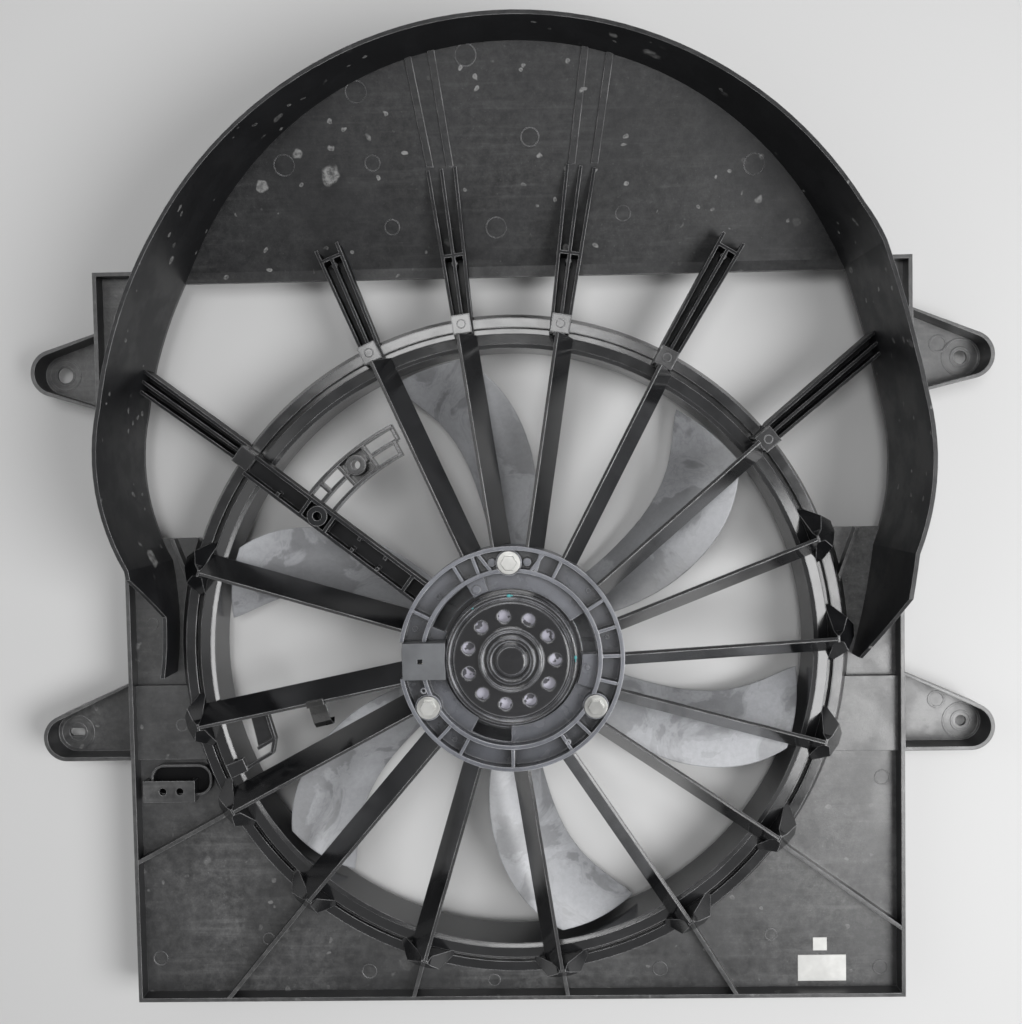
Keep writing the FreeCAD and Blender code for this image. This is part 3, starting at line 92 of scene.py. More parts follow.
class ShroudStage(bpy.types.PropertyGroup):
    """Floor and lamps."""
    floor_size: FloatProperty(name="Floor size", description="Side of the square floor",
                              default=9.0, min=2.0, subtype="DISTANCE", unit="LENGTH")
    floor_tone: FloatProperty(name="Floor tone", description="Greyness of the pale floor",
                              default=0.66, min=0.0, max=1.0, subtype="FACTOR")
    key_power: FloatProperty(name="Key lamp", description="Power of the large lamp",
                             default=20.0, min=0.0)
    top_power: FloatProperty(name="Ceiling lamp", description="Power of the lamp overhead",
                             default=10.0, min=0.0)
    fill_power: FloatProperty(name="Fill lamp", description="Power of the opposite lamp",
                              default=3.0, min=0.0)
    sky: FloatProperty(name="Sky", description="Light from all round", default=0.25, min=0.0)
    zenith: FloatProperty(name="Zenith", description="What glossy faces see straight above",
                          default=0.35, min=0.0)


# ------------------------------------------------------------------ node helpers
def node(tree, kind, **settings):
    """Adds a node and sets its plain settings."""
    made = tree.nodes.new(kind)
    for key, value in settings.items():
        setattr(made, key, value)
    return made


def feed(tree, socket, value):
    """Links an output to a socket, or sets the socket to a plain value."""
    if isinstance(value, bpy.types.NodeSocket):
        tree.links.new(value, socket)
    else:
        socket.default_value = value


def maths(tree, operation, a, b=0.0, clamp=False):
    """Output of a Math node on two values or outputs."""
    made = node(tree, "ShaderNodeMath", operation=operation, use_clamp=clamp)
    feed(tree, made.inputs[0], a)
    feed(tree, made.inputs[1], b)
    return made.outputs[0]


def span(tree, value, low, high, to_low=0.0, to_high=1.0):
    """Maps low..high softly to to_low..to_high and stops at both ends."""
    made = node(tree, "ShaderNodeMapRange", clamp=True)
    made.interpolation_type = "SMOOTHSTEP"
    for name, number in (("Value", value), ("From Min", low), ("From Max", high),
                         ("To Min", to_low), ("To Max", to_high)):
        feed(tree, made.inputs[name], number)
    return made.outputs["Result"]


def noise(tree, where, scale, detail=3.0, rough=0.55, warp=0.0):
    """Grey noise at a place, its scale in waves a metre."""
    made = node(tree, "ShaderNodeTexNoise")
    feed(tree, made.inputs["Vector"], where)
    feed(tree, made.inputs["Scale"], scale)
    made.inputs["Detail"].default_value = detail
    made.inputs["Roughness"].default_value = rough
    made.inputs["Distortion"].default_value = warp
    return made.outputs["Fac"]


MIX_A, MIX_B, MIX_RESULT = 6, 7, 2  # colour sockets of the Mix node


def blend_colour(tree, share, first, second):
    """First colour where the share is 0, second where it is 1."""
    made = node(tree, "ShaderNodeMix", data_type="RGBA")
    feed(tree, made.inputs["Factor"], share)
    for index, value in ((MIX_A, first), (MIX_B, second)):
        feed(tree, made.inputs[index],
             value if isinstance(value, bpy.types.NodeSocket) else (*value, 1.0))
    return made.outputs[MIX_RESULT]


def own_place(tree):
    """Place on the piece in its own coordinates, so that a finish rides with it."""
    return node(tree, "ShaderNodeTexCoord").outputs["Object"]


def group(name, inputs, outputs, fill):
    """A shader node group with named number sockets, filled by a function."""
    tree = bpy.data.node_groups.new(name, "ShaderNodeTree")
    for label, default in inputs.items():
        socket = tree.interface.new_socket(label, in_out="INPUT", socket_type="NodeSocketFloat")
        socket.default_value = default
    for label in outputs:
        tree.interface.new_socket(label, in_out="OUTPUT", socket_type="NodeSocketFloat")
    ends = node(tree, "NodeGroupInput"), node(tree, "NodeGroupOutput")
    fill(tree, ends[0].outputs, ends[1].inputs)
    return tree


def use_group(tree, shared, **values):
    """Places a shared group in a material with its own values, and gives its outputs."""
    made = node(tree, "ShaderNodeGroup", node_tree=shared)
    for key, value in values.items():
        feed(tree, made.inputs[key.replace("_", " ").capitalize()], value)
    return made.outputs


# ------------------------------------------------------------------ shared effects
# Scales of noise are in waves a metre. The first two numbers of a span are the levels at
# which its mask starts and is full, the next two what it gives there.
def fill_edge_wear_and_painted_light(tree, given, out):
    """Worn edges that also carry painted highlight and shade: where a rounded normal leaves the flat one, broken
    up by noise.
    """
    bevel = node(tree, "ShaderNodeBevel", samples=4)
    feed(tree, bevel.inputs["Radius"], given["Width"])
    plain = node(tree, "ShaderNodeNewGeometry")
    dot = node(tree, "ShaderNodeVectorMath", operation="DOT_PRODUCT")
    feed(tree, dot.inputs[0], bevel.outputs["Normal"])
    feed(tree, dot.inputs[1], plain.outputs["Normal"])
    bend = maths(tree, "SUBTRACT", 1.0, dot.outputs["Value"])
    where = own_place(tree)
    patches = span(tree, noise(tree, where, 45.0), 0.36, 0.62, 0.35, 1.0)
    edge = span(tree, bend, 0.015, 0.2)
    feed(tree, out["Mask"], maths(tree, "MULTIPLY", edge, patches, clamp=True))


def fill_dust(tree, given, out):
    """Dust: thickest on faces that look up, in clouds, a fine mottle and small specks."""
    where = own_place(tree)
    facing = node(tree, "ShaderNodeSeparateXYZ")
    feed(tree, facing.inputs[0], node(tree, "ShaderNodeNewGeometry").outputs["Normal"])
    up = span(tree, facing.outputs["Z"], 0.25, 0.95, 0.02, 1.0)
    clouds = span(tree, noise(tree, where, given["Cloud scale"], 6.0, 0.62, 0.6), 0.34, 0.7,
                  0.25, 1.0)
    mottle = span(tree, noise(tree, where, 140.0, 8.0, 0.8), 0.3, 0.8)
    specks = span(tree, noise(tree, where, 480.0, 3.0, 0.7), 0.63, 0.72)
    along = node(tree, "ShaderNodeMapping", vector_type="POINT")
    feed(tree, along.inputs["Vector"], where)
    along.inputs["Rotation"].default_value = (0.0, 0.0, 0.5)
    along.inputs["Scale"].default_value = (0.06, 1.0, 1.0)
    wiped = span(tree, noise(tree, along.outputs[0], 190.0, 4.0, 0.6), 0.5, 0.72)
    streaks = maths(tree, "ADD", maths(tree, "MULTIPLY", specks, 0.45),
                    maths(tree, "MULTIPLY", wiped, 0.22))
    mix = maths(tree, "ADD", maths(tree, "MULTIPLY", mottle, given["Mottle"]), streaks)
    mix = maths(tree, "MULTIPLY", maths(tree, "MULTIPLY", mix, clouds), up)
    feed(tree, out["Mask"], maths(tree, "MULTIPLY", mix, given["Amount"], clamp=True))


# Large, middle and fine drops: cells a metre, radius in a cell, share of cells left bare.
DROP_SIZES = (16.0, 0.13, 0.62), (34.0, 0.16, 0.7), (90.0, 0.2, 0.72)


def fill_spots(tree, given, out):
    """Dried drops: round pale marks with a darker middle, here and there in groups."""
    where = own_place(tree)
    bent = node(tree, "ShaderNodeVectorMath", operation="ADD")
    push = node(tree, "ShaderNodeTexNoise")
    feed(tree, push.inputs["Vector"], where)
    push.inputs["Scale"].default_value = 70.0
    shrink = node(tree, "ShaderNodeVectorMath", operation="SCALE")
    feed(tree, shrink.inputs[0], push.outputs["Color"])
    shrink.inputs["Scale"].default_value = 0.012
    feed(tree, bent.inputs[0], where)
    feed(tree, bent.inputs[1], shrink.outputs[0])
    total = 0.0
    for scale, radius, rare in DROP_SIZES:
        cells = node(tree, "ShaderNodeTexVoronoi", feature="F1")
        feed(tree, cells.inputs["Vector"], bent.outputs[0])
        cells.inputs["Scale"].default_value = scale
        pick = node(tree, "ShaderNodeSeparateXYZ")
        feed(tree, pick.inputs[0], cells.outputs["Color"])
        chosen = span(tree, pick.outputs["X"], rare, rare + 0.1)
        disc = span(tree, cells.outputs["Distance"], radius * 0.7, radius, 1.0, 0.0)
        middle = span(tree, cells.outputs["Distance"], 0.0, radius * 0.6, 0.45, 1.0)
        mark = maths(tree, "MULTIPLY", maths(tree, "MULTIPLY", disc, middle), chosen)
        total = maths(tree, "ADD", mark, total)
    grain = span(tree, noise(tree, where, 260.0, 4.0, 0.7), 0.3, 0.65, 0.15, 1.0)
    total = maths(tree, "MULTIPLY", total, grain)
    feed(tree, out["Mask"], maths(tree, "MULTIPLY", total, given["Amount"], clamp=True))


def fill_painted_shade(tree, given, out):
    """Painted shade: share of open sky over a point, low in pockets and corners, where the colour is darkened."""
    sky = node(tree, "ShaderNodeAmbientOcclusion", samples=4)
    sky.inputs["Distance"].default_value = 14.0 * MM
    feed(tree, out["Mask"], span(tree, sky.outputs["AO"], 0.25, 0.85, given["Darkest"], 1.0))


def fill_grain(tree, given, out):
    """Fine spark-eroded grain of a moulded skin: a height and a change of gloss."""
    where = own_place(tree)
    fine = noise(tree, where, given["Scale"], 2.0, 0.5)
    wide = noise(tree, where, 28.0, 4.0, 0.6)
    feed(tree, out["Height"], maths(tree, "ADD", fine, maths(tree, "MULTIPLY", wide, 0.6)))
    feed(tree, out["Gloss"], span(tree, wide, 0.3, 0.7))


def fill_wipe(tree, given, out):
    """Even film with soft clouds, water stains with a border and a few wiping marks."""
    where = own_place(tree)
    broad = noise(tree, where, given["Scale"], 3.0, 0.5, 0.5)
    cloud = span(tree, broad, 0.25, 0.75, 0.5, 1.0)
    stain = noise(tree, where, 16.0, 5.0, 0.55, 1.0)
    border = maths(tree, "MULTIPLY", span(tree, stain, 0.5, 0.52),
                   span(tree, stain, 0.52, 0.57, 1.0, 0.0))
    inside = span(tree, stain, 0.49, 0.52, 1.0, 0.58)
    thin = span(tree, noise(tree, where, 240.0, 4.0, 0.75), 0.25, 0.75, 0.82, 1.0)
    film = maths(tree, "MULTIPLY", maths(tree, "MULTIPLY", cloud, inside), thin)
    feed(tree, out["Mask"], maths(tree, "ADD", film, maths(tree, "MULTIPLY", border, 0.25),
                                  clamp=True))


def shared_groups():
    """The effects that several finishes share, each as one node group."""
    return {
        "edge": group("Edge wear", {"Width": 0.6 * MM}, ("Mask",), fill_edge_wear_and_painted_light),
        "dust": group("Dust", {"Amount": 0.5, "Cloud scale": 9.0, "Mottle": 0.6}, ("Mask",),
                      fill_dust),
        "spots": group("Dried drops", {"Amount": 0.5}, ("Mask",), fill_spots),
        "painted_shade": group("Cavity", {"Darkest": 0.3}, ("Mask",), fill_painted_shade),
        "grain": group("Moulded grain", {"Scale": 1400.0}, ("Height", "Gloss"), fill_grain),
        "wipe": group("Wiped film", {"Scale": 8.0}, ("Mask",), fill_wipe),
    }


# ------------------------------------------------------------------ finishes
SHARED = {}
# The second tone is the near black of painted shade in pockets and corners.
SOIL_TONE, PAINTED_SHADE_TONE = (0.03, 0.03, 0.035), (0.002, 0.002, 0.0025)
DULLED = 0.28  # roughness that a full cover of dust, drops or film adds
GRAIN_DEPTH = 0.4 * MM


def finish_material(name, base, rough, metal=0.0, dust=0.0, dust_tone=None, edge=0.0,
                    edge_tone=None, edge_wide=0.6, grain=1400.0, bump=0.12, film=0.0,
                    drops=0.0, soil=0.0, specular=0.5, cloud=9.0, mottle=0.6, painted_shade=1.0):
    """A worn surface: base colour, dust, dried drops or film over it, worn edges in a tone that is also painted
    light along them, painted shade in pockets and corners, grain.

    rough gives the roughness of glossy and dull patches, and edge_wide is in millimetres.
    """
    made = bpy.data.materials.new(name)
    made.use_nodes = True
    tree = made.node_tree
    shader = tree.nodes["Principled BSDF"]
    skin = use_group(tree, SHARED["grain"], scale=grain)
    tone = blend_colour(tree, skin["Gloss"], [c * 0.82 for c in base], [c * 1.18 for c in base])
    roughness = span(tree, skin["Gloss"], 0.0, 1.0, rough[0], rough[1])
    covers = []
    if film:
        covers.append(maths(tree, "MULTIPLY", use_group(tree, SHARED["wipe"])["Mask"], film))
    if dust:
        covers.append(use_group(tree, SHARED["dust"], amount=dust, cloud_scale=cloud,
                                mottle=mottle)["Mask"])
    if drops:
        covers.append(use_group(tree, SHARED["spots"], amount=drops)["Mask"])
    for mask in covers:
        tone = blend_colour(tree, mask, tone, dust_tone)
        roughness = maths(tree, "ADD", roughness, maths(tree, "MULTIPLY", mask, DULLED))
    if soil:
        where = own_place(tree)
        stain = span(tree, noise(tree, where, 170.0, 2.0, 0.5), 0.52, 0.58, 0.0, soil)
        tone = blend_colour(tree, stain, tone, SOIL_TONE)
    # Edges take edge_tone: rubbed wear, and also a painted highlight where the tone is pale and painted shade
    # where it is dark.
    if edge:
        worn_and_painted_light_edges = use_group(tree, SHARED["edge"], width=edge_wide * MM)["Mask"]
        tone = blend_colour(tree, maths(tree, "MULTIPLY", worn_and_painted_light_edges, edge), tone, edge_tone)
    # Pockets and corners are darkened towards near black: painted shade.
    if painted_shade < 1.0:
        painted_shade_mask = use_group(tree, SHARED["painted_shade"], darkest=painted_shade)["Mask"]
        tone = blend_colour(tree, painted_shade_mask, PAINTED_SHADE_TONE, tone)
    feed(tree, shader.inputs["Base Color"], tone)
    feed(tree, shader.inputs["Roughness"], roughness)
    shader.inputs["Metallic"].default_value = metal
    shader.inputs["Specular IOR Level"].default_value = specular
    soft = node(tree, "ShaderNodeBevel", samples=4)
    soft.inputs["Radius"].default_value = edge_wide * 1.4 * MM
    ridge = node(tree, "ShaderNodeBump")
    feed(tree, ridge.inputs["Normal"], soft.outputs["Normal"])
    ridge.inputs["Strength"].default_value = bump
    ridge.inputs["Distance"].default_value = GRAIN_DEPTH
    feed(tree, ridge.inputs["Height"], skin["Height"])
    feed(tree, shader.inputs["Normal"], ridge.outputs["Normal"])
    return made


def dress(material, *names):
    """Gives nodes one material in place of their own."""
    for name in names:
        mesh = NODES[name].data
        mesh.materials.clear()
        mesh.materials.append(material)


class SHROUD_OT_cowl(bpy.types.Operator):
    """Gives the cowl's mouldings their worn black nylon"""
    bl_idname = "shroud.cowl"
    bl_label = "Cowl nylon"

    def execute(self, context):
        tint = context.scene.shroud_finish
        # Pale edges on the cowl are wear and a painted highlight; the pockets and corners of arms and ring get
        # painted shade.
        dress(finish_material("plate nylon", tint.nylon, (0.3, 0.44), dust=0.62,
                              dust_tone=tint.nylon_dust, drops=0.4, edge=0.7,
                              edge_tone=tint.bare_edge_and_highlight, bump=0.22, specular=1.0, cloud=6.0,
                              mottle=0.6), *PLATE)
        dress(finish_material("hood nylon", tint.nylon, (0.36, 0.5), dust=0.3,
                              dust_tone=tint.nylon_dust, drops=0.8, edge=0.85,
                              edge_tone=tint.bare_edge_and_highlight, bump=0.14, specular=0.3, cloud=4.0,
                              mottle=0.5), *HOOD)
        dress(finish_material("arm nylon", tint.nylon, (0.34, 0.48), dust=0.04,
                              dust_tone=tint.nylon_dust, edge=1.0, edge_tone=tint.bare_edge_and_highlight,
                              edge_wide=0.9, bump=0.08, specular=0.15, mottle=0.3,
                              painted_shade=0.2), *ARMS)
        rest = [n for n in SLOTS["shroud_plastic"] if n not in PLATE + HOOD + ARMS]
        dress(finish_material("ring nylon", tint.nylon, (0.13, 0.22), dust=0.06,
                              dust_tone=tint.nylon_dust, edge=1.0, edge_tone=tint.bare_edge_and_highlight,
                              edge_wide=1.0, bump=0.06, specular=0.7, mottle=0.3,
                              painted_shade=0.3), *rest)
        return {"FINISHED"}


STEEL = {"metal": 1.0, "grain": 900.0, "bump": 0.06}
# Finishes inside the motor: slot, name, colour, roughness, and what else is its own.
INSIDE = (
    ("bearing_steel", "bearing steel", (0.5, 0.5, 0.5), (0.2, 0.3), STEEL),
    ("shaft_steel", "turned shaft steel", (0.45, 0.45, 0.44), (0.22, 0.35), STEEL),
    ("core_iron", "core iron", (0.2, 0.19, 0.18), (0.4, 0.6), STEEL),
    ("magnet_black", "sintered ferrite", (0.05, 0.05, 0.052), (0.6, 0.8), {"bump": 0.2}),
    ("copper", "enamelled copper", (0.5, 0.2, 0.09), (0.25, 0.4), STEEL),
    ("carbon", "pressed carbon", (0.03, 0.03, 0.03), (0.5, 0.7), {}),
    ("card_plastic", "brush card plastic", (0.5, 0.49, 0.56), (0.4, 0.55), {}),
    ("tin", "tinned brass", (0.66, 0.62, 0.5), (0.25, 0.35), STEEL),
)


class SHROUD_OT_motor(bpy.types.Operator):
    """Finishes the motor, its ring, its socket and what is inside it"""
    bl_idname = "shroud.motor"
    bl_label = "Motor and ring"

    def execute(self, context):
        tint = context.scene.shroud_finish
        dust = tint.nylon_dust
        # Pale rims on the motor ring are wear and a painted highlight, and its pockets get painted shade.
        dress(finish_material("motor ring nylon", tint.ring_nylon, (0.22, 0.36), dust=0.3,
                              dust_tone=dust, edge=1.0, edge_tone=(0.82, 0.83, 0.87),
                              edge_wide=1.2, bump=0.4, specular=0.55, mottle=0.5,
                              painted_shade=0.12), *SLOTS["mount_plastic"])
        # The pale edge tone on the enamel is a painted highlight along the cap's rims.
        dress(finish_material("motor enamel", tint.enamel, (0.05, 0.12), dust=0.1, dust_tone=dust,
                              edge=0.9, edge_tone=(0.7, 0.71, 0.76), edge_wide=1.6,
                              grain=400.0, bump=0.03, specular=1.0, mottle=0.3),
              *SLOTS["motor_black"])
        # Paler edges on the socket: wear and a painted highlight.
        dress(finish_material("socket nylon", tint.plug, (0.3, 0.45), dust=0.2, dust_tone=dust,
                              edge=0.5, edge_tone=(0.32, 0.33, 0.34)), *SLOTS["connector_grey"])
        for slot, name, tone, rough, more in INSIDE:
            dress(finish_material(name, tone, rough, **more), *SLOTS[slot])
        return {"FINISHED"}


class SHROUD_OT_fan(bpy.types.Operator):
    """Gives hub and blades their charcoal plastic under a film of road dust"""
    bl_idname = "shroud.fan"
    bl_label = "Fan"

    def execute(self, context):
        tint = context.scene.shroud_finish
        # Pale edges on hub and blades: wear and a painted highlight.
        dress(finish_material("fan plastic", tint.blade, (0.26, 0.38), dust=0.1,
                              dust_tone=tint.blade_dust, film=0.85, edge=0.8,
                              edge_tone=(0.5, 0.51, 0.54), edge_wide=1.2, bump=0.08,
                              specular=1.0), *SLOTS["fan_plastic"])
        return {"FINISHED"}


class SHROUD_OT_small(bpy.types.Operator):
    """Finishes screws, nuts, the spring clip and the blank labels"""
    bl_idname = "shroud.small"
    bl_label = "Small parts"

    def execute(self, context):
        tint = context.scene.shroud_finish
        # Dark lines along the screws' edges and corners are painted shade that outlines hex and flange.
        dress(finish_material("zinc plate", tint.zinc, (0.3, 0.42), metal=1.0, dust=0.2,
                              dust_tone=(0.3, 0.29, 0.26), grain=800.0, bump=0.03, edge=0.8,
                              edge_tone=(0.06, 0.06, 0.058), edge_wide=0.6),
              *SLOTS["zinc_steel"])
        # Pale edges on the clip are a painted highlight.
        dress(finish_material("spring steel", (0.11, 0.11, 0.11), (0.18, 0.32), metal=1.0,
                              dust=0.15, dust_tone=(0.2, 0.19, 0.17), edge=0.7,
                              edge_tone=(0.6, 0.6, 0.6)), *SLOTS["spring_steel"])
        dress(finish_material("label film", tint.label, (0.45, 0.6), dust=0.18,
                              dust_tone=(0.4, 0.4, 0.39), bump=0.05), *SLOTS["label_white"])
        return {"FINISHED"}


# ------------------------------------------------------------------ small moulded details
ROOF, PLATE_TOP, MOTOR_RING = ("hood_roof",), ("shroud_panel", "ear_pads"), ("motor_mount_ring",)
BLOCKS = ("ring_blocks",)
# Round marks of ejector pins: the nodes they lie on, the width of the ring, then the place of
# each from the fan's axis with its radius, in millimetres.
PIN_MARKS = (
    (ROOF, 0.7, (
        (-108, 418, 8), (-26, 440, 8), (-166, 370, 8), (-99, 370, 6), (-87, 325, 6),
        (-7, 323, 8), (106, 427, 9), (188, 363, 8), (90, 331, 6), (20, 385, 7))),
    (PLATE_TOP, 0.8, (
        (-263, -60, 5), (-238, -95, 6), (246, -60, 5), (243, -88, 6), (288, -110, 6),
        (112, -262, 6), (-120, -262, 6), (-20, -270, 5), (-288, -250, 6), (286, -262, 6),
        (200, -235, 5), (-200, -235, 5), (-286, 20, 5), (284, 8, 5))),
    (MOTOR_RING, 0.8, (
        (-66, 37, 2), (-52, 45, 2), (57, 48, 2), (-70, 22, 2.4), (66, -38, 2),
        (-64, -22, 2.2), (40, -61, 2), (0, -70, 1.8), (-43, -60, 2), (70, 14, 1.8))),
    (BLOCKS, 0.6, tuple(
        (248 * math.cos(math.radians(arm)), 248 * math.sin(math.radians(arm)), 3.4)
        for arm in (114.4, 97.7, 80.6, 61.4, 39.0))),
    (EARS, 1.5, (
        (355.5, 219, 15), (355.5, 219, 8.5), (338, 230, 7), (355.5, -69.4, 15),
        (355.5, -69.4, 8.5), (336, -52, 7), (-355.5, 219, 13), (-355.5, 219, 8),
        (-355.5, -69.4, 14), (-355.5, -69.4, 8))),
)
MARK_HIGH, MARK_FOOT = 0.3 * MM, 0.4 * MM
# A mark is left out where the surface round it, tried at these angles in radians, isn't flat.
TRIED_ANGLES, TRIED_REACH, FLAT = (0.0, 0.8, 1.6, 2.4, 3.1, 3.9, 4.7, 5.5), 1.1, 0.05
STEEPEST = 0.2  # upward share of the normal on the steepest face that takes a mark


def landed(nodes, x, y):
    """Point and normal where a plumb line at x, y meets the highest of the nodes."""
    best = None
    for name in nodes:
        hit, at, normal, _ = NODES[name].ray_cast(Vector((x, y, 1.0)), Vector((0, 0, -1)))
        if hit and (best is None or at.z > best[0].z):
            best = (at, normal)
    return best


def piece(name, mesh, material, body):
    """Turns a finished bmesh into an object that rides on a CAD body."""
    data = bpy.data.meshes.new(name)
    bmesh.ops.recalc_face_normals(mesh, faces=mesh.faces)
    mesh.to_mesh(data)
    mesh.free()
    data.materials.append(material)
    for face in data.polygons:
        face.use_smooth = False
    made = bpy.data.objects.new(name, data)
    bpy.context.scene.collection.objects.link(made)
    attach(made, body)
    return made


def join_rows(mesh, rows):
    """Joins closed sections, each to the next and the last to the first."""
    for i, row in enumerate(rows):
        after = rows[(i + 1) % len(rows)]
        for j in range(len(row)):
            k = (j + 1) % len(row)
            mesh.faces.new((row[j], after[j], after[k], row[k]))


def add_lathe(mesh, at, normal, profile, segments=40):
    """Adds a closed ring whose section is a list of radius and height, about a normal."""
    turn = Vector(normal).to_track_quat("Z", "Y").to_matrix()
    rows = []
    for i in range(segments):
        angle = 2.0 * math.pi * i / segments
        rows.append([mesh.verts.new(Vector(at) + turn @ Vector(
            (r * math.cos(angle), r * math.sin(angle), z))) for r, z in profile])
    join_rows(mesh, rows)


def mark_place(nodes, x, y, r):
    """Centre and normal of a mark, or None where it wouldn't lie flat on the nodes."""
    side = 1.0 if x < 0.0 else -1.0
    found = landed(nodes, x + side * r, y + AXIS.y)
    if found is None:
        return None
    centre, normal = found[0].copy(), found[1]
    centre.x -= side * r
    centre.z += side * r * normal.x / max(normal.z, STEEPEST)
    for angle in TRIED_ANGLES:
        spot = landed(nodes, centre.x + TRIED_REACH * r * math.cos(angle),
                      centre.y + TRIED_REACH * r * math.sin(angle))
        if spot is None or (spot[1] - normal).length > FLAT:
            return None
    return centre, normal


class SHROUD_OT_marks(bpy.types.Operator):
    """Adds the round marks that the mould's ejector pins leave"""
    bl_idname = "shroud.marks"
    bl_label = "Moulding marks"

    def execute(self, context):
        for nodes, wide, places in PIN_MARKS:
            mesh = bmesh.new()
            for x, y, radius in places:
                r = radius * MM
                found = mark_place(nodes, x * MM, y * MM, r)
                if found:
                    inner = r - wide * MM
                    add_lathe(mesh, *found, (
                        (inner - MARK_FOOT, -MARK_FOOT), (inner, MARK_HIGH), (r, MARK_HIGH),
                        (r + MARK_FOOT, -MARK_FOOT)))
            if not mesh.faces:
                raise RuntimeError("no pin mark found its surface")
            piece("pin_marks_" + nodes[0], mesh, NODES[nodes[0]].data.materials[0], "cowl")
        return {"FINISHED"}


CARD_INNER, CARD_OUTER, CARD_STEPS = 23.5 * MM, 38.5 * MM, 96
CARD_TOP, CARD_LOW = 1.2 * MM, 2.2 * MM  # faces of the card under the sheet of the cap


class SHROUD_OT_card(bpy.types.Operator):
    """Adds the pale face of the brush card that is seen through the cap's vents"""
    bl_idname = "shroud.card"
    bl_label = "Brush card"

    def execute(self, context):
        mesh = bmesh.new()
        start = Vector((CARD_INNER, AXIS.y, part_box("brush_card")[1].z + 0.5 * MM))
        hit, sheet, _, _ = NODES["motor_end_cap"].ray_cast(start, Vector((0, 0, 1)))
        if not hit:
            raise RuntimeError("the card found no cap above it")
        add_lathe(mesh, (AXIS.x, AXIS.y, sheet.z), (0, 0, 1),
                  ((CARD_INNER, -CARD_LOW), (CARD_OUTER, -CARD_LOW), (CARD_OUTER, -CARD_TOP),
                   (CARD_INNER, -CARD_TOP)), CARD_STEPS)
        finish = finish_material("soiled card", (0.5, 0.49, 0.57), (0.3, 0.45), soil=0.9)
        piece("card_face", mesh, finish, "cowl")
        return {"FINISHED"}


RIM_HALF_X, RIM_HALF_Y, RIM_CORNER, RIM_WALL = 24.5 * MM, 12.6 * MM, 11.0 * MM, 2.2 * MM
RIM_HIGH, RIM_ROUND, RIM_SUNK = 6.7 * MM, 0.5 * MM, 0.4 * MM
RIM_FROM_TAB = (-11.5 * MM, -0.3 * MM)  # middle of the rim from the block's far corner
# The near-black sheet in the pocket is painted shade.
SHADE_SHEET_FACES = (0.1 * MM, 0.4 * MM)  # lower and upper face over the foot of the block
# Corners of a rounded oblong: signs of x and y, and where the arc starts, in degrees.
CORNERS, CORNER_STEPS = ((1, 1, 0.0), (-1, 1, 90.0), (-1, -1, 180.0), (1, -1, 270.0)), 12


class SHROUD_OT_harness(bpy.types.Operator):
    """Adds the rounded rim behind the harness block and a near-black sheet in its pocket as painted shade"""
    bl_idname = "shroud.harness"
    bl_label = "Harness pocket"

    def execute(self, context):
        low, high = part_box("harness_tab")
        middle = Vector((high.x + RIM_FROM_TAB[0], high.y + RIM_FROM_TAB[1], low.z))
        inside = RIM_CORNER - RIM_WALL
        section = ((inside, -RIM_SUNK), (RIM_CORNER, -RIM_SUNK),
                   (RIM_CORNER, RIM_HIGH - RIM_ROUND), (RIM_CORNER - RIM_ROUND, RIM_HIGH),
                   (inside + RIM_ROUND, RIM_HIGH), (inside, RIM_HIGH - RIM_ROUND))
        mesh = bmesh.new()
        rows = []
        for cx, cy, start in CORNERS:
            corner = middle + Vector((cx * (RIM_HALF_X - RIM_CORNER),
                                      cy * (RIM_HALF_Y - RIM_CORNER), 0.0))
            for i in range(CORNER_STEPS + 1):
                turn = math.radians(start + 90.0 * i / CORNER_STEPS)
                heading = Vector((math.cos(turn), math.sin(turn), 0.0))
                rows.append([mesh.verts.new(corner + heading * out + Vector((0, 0, z)))
                             for out, z in section])
        join_rows(mesh, rows)
        outline = [row[0].co.copy() for row in rows]
        rim_finish = NODES["harness_tab"].data.materials[0]
        piece("harness_rim", mesh, rim_finish, "cowl")

        # A near-black sheet over the foot of the block stands in for the shade in the pocket: painted shade.
        mesh = bmesh.new()
        for z in SHADE_SHEET_FACES:
            mesh.faces.new([mesh.verts.new(Vector((at.x, at.y, low.z + z))) for at in outline])
        bmesh.ops.bridge_loops(mesh, edges=mesh.edges[:])
        finish = finish_material("pocket nylon", (0.003, 0.003, 0.0035), (0.6, 0.8),
                                 specular=0.15)
        piece("harness_pocket", mesh, finish, "cowl")
        return {"FINISHED"}


# Dabs on the cap's rim: angle about the axis in degrees, and size.
DABS = ((91.0, 1.0), (88.5, 0.5), (1.0, 0.9), (-2.0, 0.45), (126.0, 0.5))
DAB_DEEP, DAB_WIDE, DAB_HIGH, DAB_INSET = 1.2 * MM, 1.8 * MM, 0.2 * MM, 1.6 * MM


